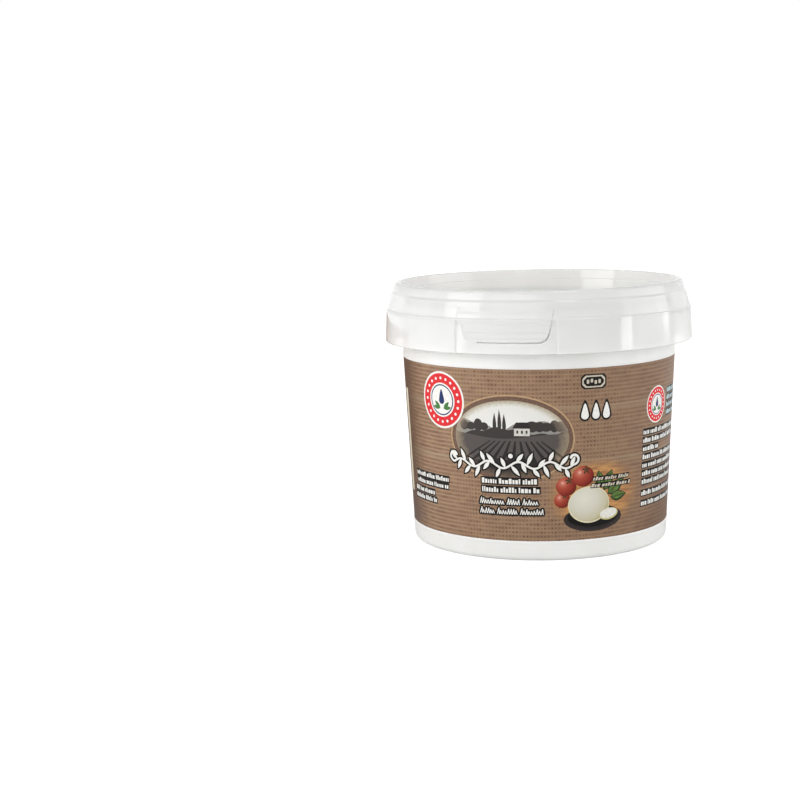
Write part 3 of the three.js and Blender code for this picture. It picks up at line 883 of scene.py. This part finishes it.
WINDOW_HALF_WIDTH, WINDOW_DEPTH, WINDOW_EDGE = 15.4, 0.45, 0.26
WINDOW_SLOPE_Z = (70.1, 71.5)  # under the ridge the sunk field slopes in between these heights
WINDOW_SHALLOW = 0.12  # its depth on the shoulder
WINDOW_FADE_Z = 74.6  # and there its sides run out
TAB_TOP_HALF, TAB_BOTTOM_HALF = 14.4, 12.3
TAB_TOP_Z, TAB_BOTTOM_Z, TAB_ROUND = 74.5, 65.3, 3.4
TAB_PROUD, TAB_LEAN = 0.18, 0.24  # it leans out towards its top
TAB_EDGE, TAB_SOFT_EDGE = 0.2, 0.42  # its left side rises softly
SLIT_START_X, SLIT_HALF, SLIT_REACH = -8.4, 0.16, 3.0  # where it starts, half its width, and how deep it cuts
SLIT_NARROWS_Z, SLIT_NARROWING = (67, 72), 0.12
CORNER_GAPE, CORNER_GAPE_REACH, START_GAPE = 0.12, 1.2, 0.06  # what its half width gains there
GRIP_ROWS_Z = (65.3, 66.6, 68.3, 70.8)  # under each of these heights but the first, the tab steps in
GRIP_DEPTH, GRIP_STEP, GRIP_MARGIN = 0.15, 0.28, 0.9
PIP_RADIUS, PIP_HEIGHT, PIP_RISE = 0.6, 0.08, 0.6
FACE_STEP = 0.2  # between points of the profile on the outside of the skirt and shoulder
TAB_REACH, REST_COLUMNS = 17.0, 230  # the columns of faces are close together out to here, then this many
OUTER_FACE_RADIUS = SHOULDER_TOP_RADIUS - 0.3  # the outside of the skirt and shoulder lies beyond this
ROWS_OVER_RIM = 4  # rows of faces from the top of the rim to the start of the recess

lid_corners = [
    (0, PANEL_Z - LID_WALL),
    (PANEL_RADIUS + LID_WALL, PANEL_Z - LID_WALL, 0.7),
    (PANEL_RADIUS + LID_WALL, MOUTH_Z + 0.3, 0.3),
    (LEDGE_OUTER_RADIUS + LID_WALL, LEDGE_Z - LID_WALL, 0.3),
    (RIM_INNER_RADIUS + LID_WALL, TOP_Z - 2 * LID_WALL, 0.2),
    (NECK_RADIUS - LID_WALL, NECK_Z - LID_WALL, 0.3),
    (SHOULDER_FOOT_RADIUS - LID_WALL, SHOULDER_FOOT_Z - LID_WALL, 0.2),
    (RIDGE_RADIUS - LID_WALL, RIDGE_Z - LID_WALL, 0.2),
    (SKIRT_RADIUS - LID_WALL, SKIRT_BOTTOM_Z, SKIRT_ROUND),
    (SKIRT_RADIUS, SKIRT_BOTTOM_Z, SKIRT_ROUND),
    (RIDGE_RADIUS, RIDGE_Z, 0.22),
    (SHOULDER_FOOT_RADIUS, SHOULDER_FOOT_Z, 0.2),
    (SHOULDER_TOP_RADIUS, SHOULDER_TOP_Z, 1.1),
    (NECK_RADIUS, NECK_Z, 1.1),
    (RIM_OUTER_RADIUS, TOP_Z, RIM_OUTER_ROUND),
    (RIM_INNER_RADIUS, TOP_Z, RIM_ROUND),
    (LEDGE_OUTER_RADIUS, LEDGE_Z, 0.15),
    (LEDGE_INNER_RADIUS, LEDGE_Z, 0.25),
    (PANEL_RADIUS, PANEL_Z, 0.6),
    (0, PANEL_Z),
]


def on_outer_face(start, end):
    return end[1] >= start[1] and min(start[0], end[0]) > OUTER_FACE_RADIUS


def divided(points):
    """Adds points along the outer face, so that the tab's relief has faces to lie on."""
    result = [points[0]]
    for start, end in zip(points[:-1], points[1:]):
        steps = math.ceil(np.linalg.norm(end - start) / FACE_STEP) if on_outer_face(start, end) else 1
        result += [start + (end - start) * step / steps for step in range(1, steps + 1)]
    return np.array(result)


def eased(value, start, end):
    """0 before start, 1 after end, and a smooth step between them."""
    t = np.clip((value - start) / (end - start), 0, 1)
    return t * t * (3 - 2 * t)


def tab_half_width(z):
    return np.interp(z, [TAB_BOTTOM_Z, TAB_TOP_Z], [TAB_BOTTOM_HALF, TAB_TOP_HALF])


def tab_line():
    """The U-shaped line round the tab, from its top left to its top right, at an even pitch."""
    corners = [(-TAB_TOP_HALF, TAB_TOP_Z), (-TAB_BOTTOM_HALF, TAB_BOTTOM_Z, TAB_ROUND),
               (TAB_BOTTOM_HALF, TAB_BOTTOM_Z, TAB_ROUND), (TAB_TOP_HALF, TAB_TOP_Z)]
    line = rounded(corners, 16)
    run = np.concatenate([[0], np.cumsum(np.linalg.norm(np.diff(line, axis=0), axis=1))])
    even = np.linspace(0, run[-1], 121)
    return np.stack([np.interp(even, run, line[:, k]) for k in (0, 1)], -1)


def inside_tab(x, z):
    """The distance from the tab's line, more than 0 inside it."""
    line = tab_line()
    along = np.gradient(line, axis=0)
    along /= np.linalg.norm(along, axis=1, keepdims=True)
    nearest = np.full(x.shape, 1e3)
    depth = np.zeros(x.shape)
    for (line_x, line_z), (along_x, along_z) in zip(line, along):
        away = np.hypot(x - line_x, z - line_z)
        side = along_x * (z - line_z) - along_z * (x - line_x)
        depth = np.where(away < nearest, np.copysign(away, side), depth)
        nearest = np.minimum(nearest, away)
    return depth


def relief(x, z):
    """How far the outer face stands out from the plain skirt, at x round the skirt and height z."""
    across_window = np.clip((WINDOW_HALF_WIDTH + WINDOW_EDGE - np.abs(x)) / (2 * WINDOW_EDGE), 0, 1)
    depth = np.interp(z, WINDOW_SLOPE_Z, [WINDOW_DEPTH, WINDOW_SHALLOW])
    out = -across_window * depth * (1 - eased(z, SHOULDER_FOOT_Z + 0.6, WINDOW_FADE_Z))

    edge = TAB_EDGE + (TAB_SOFT_EDGE - TAB_EDGE) * eased(-x, -SLIT_START_X - 2, -SLIT_START_X + 1)
    on_tab = eased(inside_tab(x, z) / edge, -1, 1) * (1 - eased(z, WINDOW_SLOPE_Z[0], RIDGE_Z))
    up_tab = np.clip((z - TAB_BOTTOM_Z) / (WINDOW_SLOPE_Z[0] - TAB_BOTTOM_Z), 0, 1)
    out = out + (TAB_PROUD + TAB_LEAN * up_tab) * on_tab
    bands = [(z - low) / (high - low) for low, high in zip(GRIP_ROWS_Z, GRIP_ROWS_Z[1:])]
    steps = sum(np.clip(band, 0, 1) - eased(z, high - GRIP_STEP, high)
                for band, high in zip(bands, GRIP_ROWS_Z[1:]))
    across_grip = eased(-np.abs(x), GRIP_MARGIN - 0.6 - tab_half_width(z), GRIP_MARGIN - tab_half_width(z))
    out = out - GRIP_DEPTH * steps * across_grip
    for side in (-1, 1):
        away = np.hypot(x - side * tab_half_width(TAB_TOP_Z), z - TAB_TOP_Z - PIP_RISE) / PIP_RADIUS
        out = out + PIP_HEIGHT * np.sqrt(np.clip(1 - away**2, 0, 1))
    return out


lid_profile = divided(rounded(lid_corners))
tab_angle = TAB_REACH / SKIRT_RADIUS
lid_angles = np.concatenate([
    np.arange(-tab_angle, tab_angle, FACE_STEP / SKIRT_RADIUS),
    np.linspace(tab_angle, 2 * math.pi - tab_angle, REST_COLUMNS + 1)[:-1],
])
lid_radii = np.repeat(lid_profile[:, :1], len(lid_angles), axis=1)
rising = np.gradient(lid_profile[:, 1]) > -1e-6
outer_face = rising & (lid_profile[:, 0] > OUTER_FACE_RADIUS)
skirt_x = SKIRT_RADIUS * ((lid_angles + math.pi) % (2 * math.pi) - math.pi)
lid_radii[outer_face] += relief(*np.broadcast_arrays(skirt_x[None, :], lid_profile[outer_face, 1:]))
lid = new_piece("lid", *turned(lid_radii, lid_profile[:, 1:], lid_angles))
inner_rows = int(np.argmin(lid_profile[:, 1] - 0.01 * lid_profile[:, 0]))  # up to the skirt's lower edge
recess_row = inner_rows + int(np.argmax(lid_profile[inner_rows:, 1] > TOP_Z - 0.01)) + ROWS_OVER_RIM
lid_rows = np.arange(len(lid.data.polygons)) // len(lid_angles)
OUTER_FACE, INNER_FACE, RECESS_SHADED_FACE = 0, 1, 2  # the order of the lid's materials
lid_faces = np.where(lid_rows < recess_row, OUTER_FACE, RECESS_SHADED_FACE)
lid_faces[lid_rows < inner_rows] = INNER_FACE
lid.data.polygons.foreach_set("material_index", lid_faces.astype(np.int32))


def slit_cutter():
    """A thin wall along the slit, which runs from near the left of the tab's foot, round its right corner,
    where it gapes, and up its right side."""
    line = tab_line()
    line = line[line[:, 0] > SLIT_START_X]
    along = np.gradient(line, axis=0)
    along /= np.linalg.norm(along, axis=1, keepdims=True)
    aside = np.stack([-along[:, 1], along[:, 0]], -1)
    from_corner = np.hypot(line[:, 0] - TAB_BOTTOM_HALF + 0.6, line[:, 1] - TAB_BOTTOM_Z - 1)
    from_start = line[:, 0] - line[0, 0]
    half = SLIT_HALF - SLIT_NARROWING * eased(line[:, 1], *SLIT_NARROWS_Z)
    half = half + CORNER_GAPE * np.exp(-((from_corner / CORNER_GAPE_REACH) ** 2))
    half = half + START_GAPE * np.exp(-(from_start**2))
    ring = []
    for side, depth in ((-1, -SLIT_REACH), (-1, 1.0), (1, 1.0), (1, -SLIT_REACH)):
        flat = line + side * half[:, None] * aside
        angle = flat[:, 0] / SKIRT_RADIUS
        radius = np.interp(flat[:, 1], [SKIRT_BOTTOM_Z, RIDGE_Z], [SKIRT_RADIUS, RIDGE_RADIUS]) + depth
        ring.append(np.stack([radius * np.sin(angle), -radius * np.cos(angle), flat[:, 1]], -1))
    points = np.stack(ring, 1).reshape(-1, 3)
    count = len(line)
    faces = [[4 * i + 4 + k, 4 * i + 4 + (k + 1) % 4, 4 * i + (k + 1) % 4, 4 * i + k]
             for i in range(count - 1) for k in range(4)]
    faces += [[0, 1, 2, 3], [4 * count - 1, 4 * count - 2, 4 * count - 3, 4 * count - 4]]
    return new_piece("slit_cutter", points, faces)


def cut(piece, cutter):
    """Cuts one mesh out of another and throws the cutter away."""
    cutting = piece.modifiers.new("cut", "BOOLEAN")
    cutting.object, cutting.operation, cutting.solver = cutter, "DIFFERENCE", "EXACT"
    bpy.context.view_layer.update()
    graph = bpy.context.evaluated_depsgraph_get()
    mesh = bpy.data.meshes.new_from_object(piece.evaluated_get(graph))
    piece.modifiers.clear()
    mesh.name = piece.name
    piece.data = mesh
    mesh.shade_smooth()
    mesh.set_sharp_from_angle(angle=SHARP_ANGLE)
    bpy.data.objects.remove(cutter)


def moulded_natural_polypropylene(face, clearness, darker, lighter):
    """Injection-moulded polypropylene with no pigment: milky, lets light and dim shapes through, glossy
    outside from the polished mould, with slight flow waves. The milkiness is all in the outer face, so the
    inner face is clear; clearness is the share of the light that goes straight in. In the recess the pot's
    mouth and the print lie close behind, so there the wall is made less clear, and its greyer colours are
    painted shade."""
    cloud_size, wave_size, wave_height = 18 * MM, 7 * MM, 0.012 * MM
    material, tree = new_material(f"injection_moulded_natural_polypropylene_{face}")
    place = add_node(tree, "TexCoord").outputs["Object"]
    cloud = add_node(tree, "TexNoise", {"Vector": place, "Scale": 1 / cloud_size, "Detail": 3})
    colour = add_node(tree, "ValToRGB", {"Fac": cloud})
    low, high = colour.color_ramp.elements
    low.position, high.position = 0.35, 0.65
    low.color, high.color = linear(darker), linear(lighter)
    wave = add_node(tree, "TexNoise", {"Vector": place, "Scale": 1 / wave_size, "Detail": 1})
    bump = add_node(tree, "Bump", {"Height": wave, "Distance": wave_height})
    roughness = add_node(tree, "MapRange", {"Value": wave, "To Min": 0.05, "To Max": 0.09})
    plastic = add_node(tree, "BsdfPrincipled", {"Base Color": colour, "Roughness": roughness, "Normal": bump,
                       "IOR": 1.49, "Transmission Weight": clearness})
    add_node(tree, "OutputMaterial", {"Surface": plastic})
    return material


# the recess face's greyer colours are painted shade
for lid_face, clearness, darker, lighter in (("outer_face", 0.47, "#f9faf8", "#fdfdfc"),
                                             ("inner_face", 1.0, "#f9faf8", "#fdfdfc"),
                                             ("recess_face", 0.2, "#e5e7e5", "#eaecea")):
    lid.data.materials.append(moulded_natural_polypropylene(lid_face, clearness, darker, lighter))
cut(lid, slit_cutter())
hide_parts("lid")
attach(lid, "root")

# --------------------------------------------------------------------------------------- print on the lid
# The sunk panel carries a round film, moulded in like the label: plain cream, with a large red and white seal
# in the middle and a row of small inked strokes where a date is stamped.

PANEL_PRINT_RADIUS, PANEL_PRINT_THICKNESS = 38.9, 0.04
LARGE_SEAL_RADIUS = 31.0
LARGE_SEAL_RINGS = ((1.0, "white"), (0.965, "red"), (0.74, "white"), (0.71, "navy"), (0.695, "white"),
                    (0.3, "leaf_green"), (0.275, "white"), (0.24, "red"), (0.215, "white"))
BEADS, BEAD_RADIUS, BEADS_RADIUS = 44, 0.85, 26.4
WREATH_PAIRS, WREATH_RADIUS = 18, 15.4
STROKES, STROKE_PITCH, STROKE_WIDTH, STROKES_LEFT, STROKES_FOOT = 14, 1.08, 0.42, -7.4, 33.6
LID_INKS = {ink: LABEL_INKS[ink] for ink in ("white", "navy", "leaf_green")}
LID_INKS |= {"panel_cream": mottled("#e6dfcf", "#e0d8c6", 6), "red": mottled("#f4555a", "#ee4d53", 3),
             "date_black": mottled("#4a463f", "#3c3833")}
lid_shapes = []


def print_lid(ink, outline):
    """Prints one shape on the lid's panel, seen from above with the tab at the foot of the view."""
    lid_shapes.append((ink, outline, None))


for share, ring_ink in LARGE_SEAL_RINGS:
    print_lid(ring_ink, ellipse(0, 0, share * LARGE_SEAL_RADIUS, share * LARGE_SEAL_RADIUS, 96))
for number in range(BEADS):
    t = 2 * math.pi * number / BEADS
    middle = (BEADS_RADIUS * math.cos(t), BEADS_RADIUS * math.sin(t))
    print_lid("white", ellipse(*middle, BEAD_RADIUS, BEAD_RADIUS, 12))
for number in range(WREATH_PAIRS):
    t = 2 * math.pi * number / WREATH_PAIRS
    start = (WREATH_RADIUS * math.cos(t), WREATH_RADIUS * math.sin(t))
    for leaf_ink, lean in (("leaf_green", -0.75), ("navy", 0.75)):
        print_lid(leaf_ink, leaf(*start, 3.8, 1.4, t + math.pi / 2 + lean))
print_lid("navy", drop(0, -0.9, 2.4, 5.6))
for number in range(STROKES):
    left = STROKES_LEFT + STROKE_PITCH * number
    tall = 1.7 if number % 3 else 1.3
    print_lid("date_black", block(left, STROKES_FOOT, left + STROKE_WIDTH, STROKES_FOOT + tall))


def on_the_panel(flat):
    places = np.pad(flat, ((0, 0), (0, 1)), constant_values=PANEL_Z + 0.05)
    return places, np.broadcast_to([0.0, 0.0, 1.0], places.shape)


lid_cut = cut_print(ellipse(0, 0, PANEL_PRINT_RADIUS, PANEL_PRINT_RADIUS, 128), "panel_cream", lid_shapes, [])
for ink, piece in film_pieces("lid_print", *lid_cut, on_the_panel, PANEL_PRINT_THICKNESS).items():
    piece.data.materials.append(satin_film("lid_" + ink, LID_INKS[ink]))
    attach(piece, "root")

# ---------------------------------------------------------------------------------------------- studio
# A white table in an all-round soft white studio. A broad light at the front left draws the highlight along
# the lid's shoulder, low strips at both sides draw the upright bars on its skirt, and a brown card at the
# back left gives its rim a warm reflection. The camera's place is in millimetres and all else in metres.

CAMERA_DISTANCE, CAMERA_HEIGHT, CAMERA_AZIMUTH = 528.07, 120.42, math.radians(11.8)
CAMERA_PITCH, CAMERA_YAW, CAMERA_ROLL = 0.146, -0.0821, -0.0217
LENS, SENSOR = 76.65, 36.0
LEFT_AZIMUTH = CAMERA_AZIMUTH - math.radians(75)
LEFT_WAY = (math.sin(LEFT_AZIMUTH), -math.cos(LEFT_AZIMUTH), 0)

scene = bpy.context.scene
scene.view_settings.view_transform = "Standard"
scene.view_settings.look = "None"

camera = bpy.data.objects.new("camera", bpy.data.cameras.new("camera"))
bpy.context.collection.objects.link(camera)
camera.data.lens, camera.data.sensor_width = LENS, SENSOR
heading = CAMERA_YAW - CAMERA_AZIMUTH
forward = Vector((math.sin(heading) * math.cos(CAMERA_PITCH), math.cos(heading) * math.cos(CAMERA_PITCH),
                  -math.sin(CAMERA_PITCH)))
level_right = Vector((math.cos(heading), -math.sin(heading), 0))
level_up = level_right.cross(forward)
right = math.cos(CAMERA_ROLL) * level_right + math.sin(CAMERA_ROLL) * level_up
upward = -math.sin(CAMERA_ROLL) * level_right + math.cos(CAMERA_ROLL) * level_up
camera.matrix_world = Matrix((right, upward, -forward)).transposed().to_4x4()
camera_x = CAMERA_DISTANCE * math.sin(CAMERA_AZIMUTH)
camera_y = -CAMERA_DISTANCE * math.cos(CAMERA_AZIMUTH)
camera.location = Vector((camera_x, camera_y, CAMERA_HEIGHT)) * MM
scene.camera = camera


def matt_white_table():
    """Matt white paper. Looked at, also through the lid, it is nearly plain white with the tub's soft shadow.
    What it throws back at the tub is set apart from that: a painted glow, weak close in front of the tub's
    right side and in a small patch at the back left, both painted shade, and stronger on the left than on the
    right."""
    near_centre, near_from, near_to = (0.065, -0.03, 0.0), 0.07, 0.27
    patch_centre, patch_from, patch_to = (-0.14, 0.08, 0.0), 0.05, 0.12
    side_reach = 0.25
    material, tree = new_material("matt_white_table")
    path = add_node(tree, "LightPath")
    from_camera, through_lid = path.outputs["Is Camera Ray"], path.outputs["Is Transmission Ray"]
    seen_strength = add_node(tree, "MapRange", {"Value": through_lid, "To Min": 0.95, "To Max": 0.72})
    glow = add_node(tree, "Emission", {"Color": linear("#ffffff"), "Strength": seen_strength})
    shadowed = add_node(tree, "BsdfDiffuse", {"Color": linear("#a0a0a0")})
    seen = add_node(tree, "AddShader", {0: glow, 1: shadowed})
    looked_at = add_node(tree, "Math", {0: from_camera, 1: through_lid}, operation="MAXIMUM")
    place = add_node(tree, "TexCoord").outputs["Object"]
    # painted shade: the thrown-back light is dimmed close in front of the tub's right side and in a patch at
    # the back left
    from_near = add_node(tree, "VectorMath", {0: place, 1: near_centre}, operation="DISTANCE")
    far = add_node(tree, "MapRange", {"Value": from_near.outputs["Value"], "From Min": near_from,
                   "From Max": near_to, "To Min": 0.16, "To Max": 0.75}, interpolation_type="SMOOTHSTEP")
    from_patch = add_node(tree, "VectorMath", {0: place, 1: patch_centre}, operation="DISTANCE")
    clear = add_node(tree, "MapRange", {"Value": from_patch.outputs["Value"], "From Min": patch_from,
                     "From Max": patch_to, "To Min": 0.3}, interpolation_type="SMOOTHSTEP")
    leftness = add_node(tree, "VectorMath", {0: place, 1: LEFT_WAY}, operation="DOT_PRODUCT")
    by_side = add_node(tree, "MapRange", {"Value": leftness.outputs["Value"], "From Min": -side_reach,
                       "From Max": side_reach, "To Min": 0.65, "To Max": 1.1})
    even = add_node(tree, "Math", {0: far, 1: by_side}, operation="MULTIPLY")
    strength = add_node(tree, "Math", {0: even, 1: clear}, operation="MULTIPLY")
    # painted glow: the table gives off this light itself
    painted_glow = add_node(tree, "Emission", {"Color": linear("#ffffff"), "Strength": strength})
    grey = add_node(tree, "MixRGB", {"Fac": clear, "Color1": linear("#505050"), "Color2": linear("#b4b4b4")})
    diffuse = add_node(tree, "BsdfDiffuse", {"Color": grey})
    thrown_back = add_node(tree, "AddShader", {0: painted_glow, 1: diffuse})
    table = add_node(tree, "MixShader", {0: looked_at, 1: thrown_back, 2: seen})
    add_node(tree, "OutputMaterial", {"Surface": table})
    return material


def matt_card():
    """Plain brown card, not shiny."""
    material, tree = new_material("brown_card")
    face = add_node(tree, "BsdfDiffuse", {"Color": linear("#b39a89")})
    add_node(tree, "OutputMaterial", {"Surface": face})
    return material


def flat_object(name, corners, material):
    """One four-cornered face."""
    mesh = bpy.data.meshes.new(name)
    mesh.from_pydata(corners, [], [(0, 1, 2, 3)])
    mesh.materials.append(material)
    thing = bpy.data.objects.new(name, mesh)
    bpy.context.collection.objects.link(thing)
    return thing


FLOOR_HALF = 4.0
floor_corners = [(x * FLOOR_HALF, y * FLOOR_HALF, 0) for x, y in ((-1, -1), (1, -1), (1, 1), (-1, 1))]
floor = flat_object("floor", floor_corners, matt_white_table())

CARD_X, CARD_Y, CARD_HALF, CARD_TOP = -0.119, 0.055, 0.074, 0.06
card_corners = [(-CARD_HALF, 0, 0), (CARD_HALF, 0, 0), (CARD_HALF, 0, CARD_TOP), (-CARD_HALF, 0, CARD_TOP)]
card = flat_object("brown_card", card_corners, matt_card())
card.location = (CARD_X, CARD_Y, 0)
card.rotation_euler = (0, 0, math.atan2(CARD_X, -CARD_Y))
card.visible_camera = False


def softbox(name, azimuth, elevation, width, height, radiance, distance=1.2):
    """A rectangular light aimed at the lid's foot. Its azimuth is in degrees from the tab's, to the right,
    and radiance is how bright its face looks, where 1 is white."""
    lamp = bpy.data.lights.new(name, "AREA")
    lamp.shape, lamp.size, lamp.size_y = "RECTANGLE", width, height
    lamp.energy = radiance * math.pi * width * height
    light = bpy.data.objects.new(name, lamp)
    bpy.context.collection.objects.link(light)
    turn, rise = math.radians(azimuth), math.radians(elevation)
    aim = Vector((0, 0, 0.06))
    away = Vector((math.cos(rise) * math.sin(turn), -math.cos(rise) * math.cos(turn), math.sin(rise)))
    light.location = aim + distance * away
    light.rotation_euler = away.to_track_quat("Z", "Y").to_euler()
    light.visible_camera = False
    return light


softbox("key_front_left", -48.4, 27.5, 0.61, 0.6, 3.2)
softbox("panel_right", 103, 14.8, 1.05, 0.8, 1.4, 1.25)
softbox("strip_right", 78.5, 5.2, 0.18, 0.33, 3.7, 1.15)
softbox("strip_back_right", 119, 2.5, 0.13, 0.22, 2.2, 1.15)
softbox("panel_left", -75, 4, 1.2, 0.55, 0.55)
softbox("strip_left", -46.5, 0, 0.14, 0.3, 2.1, 1.15)
softbox("top_right", 46, 62, 0.33, 0.14, 9)
softbox("front_low", -6, 20, 0.76, 0.22, 1.6)

AT_HORIZON, OVERHEAD, OVERHEAD_FROM = 1.22, 0.66, 0.75  # brightness, and the height where it ends its fall
AT_RIGHT, AT_LEFT = 0.88, 0.95
world = bpy.data.worlds.new("studio")
scene.world = world
world.use_nodes = True
sky = world.node_tree
sky.nodes.clear()
direction = add_node(sky, "TexCoord").outputs["Generated"]
height = add_node(sky, "SeparateXYZ", {0: direction}).outputs["Z"]
by_height = add_node(sky, "MapRange", {"Value": height, "From Max": OVERHEAD_FROM, "To Min": AT_HORIZON,
                     "To Max": OVERHEAD})
leftness = add_node(sky, "VectorMath", {0: direction, 1: LEFT_WAY}, operation="DOT_PRODUCT")
by_side = add_node(sky, "MapRange", {"Value": leftness.outputs["Value"], "From Min": -1, "To Min": AT_RIGHT,
                   "To Max": AT_LEFT})
strength = add_node(sky, "Math", {0: by_height, 1: by_side}, operation="MULTIPLY")
lit = add_node(sky, "Background", {"Color": linear("#ffffff"), "Strength": strength})
seen = add_node(sky, "Background", {"Color": linear("#ffffff"), "Strength": 1.0})
camera_ray = add_node(sky, "LightPath").outputs["Is Camera Ray"]
background = add_node(sky, "MixShader", {0: camera_ray, 1: lit, 2: seen})
add_node(sky, "OutputWorld", {"Surface": background})
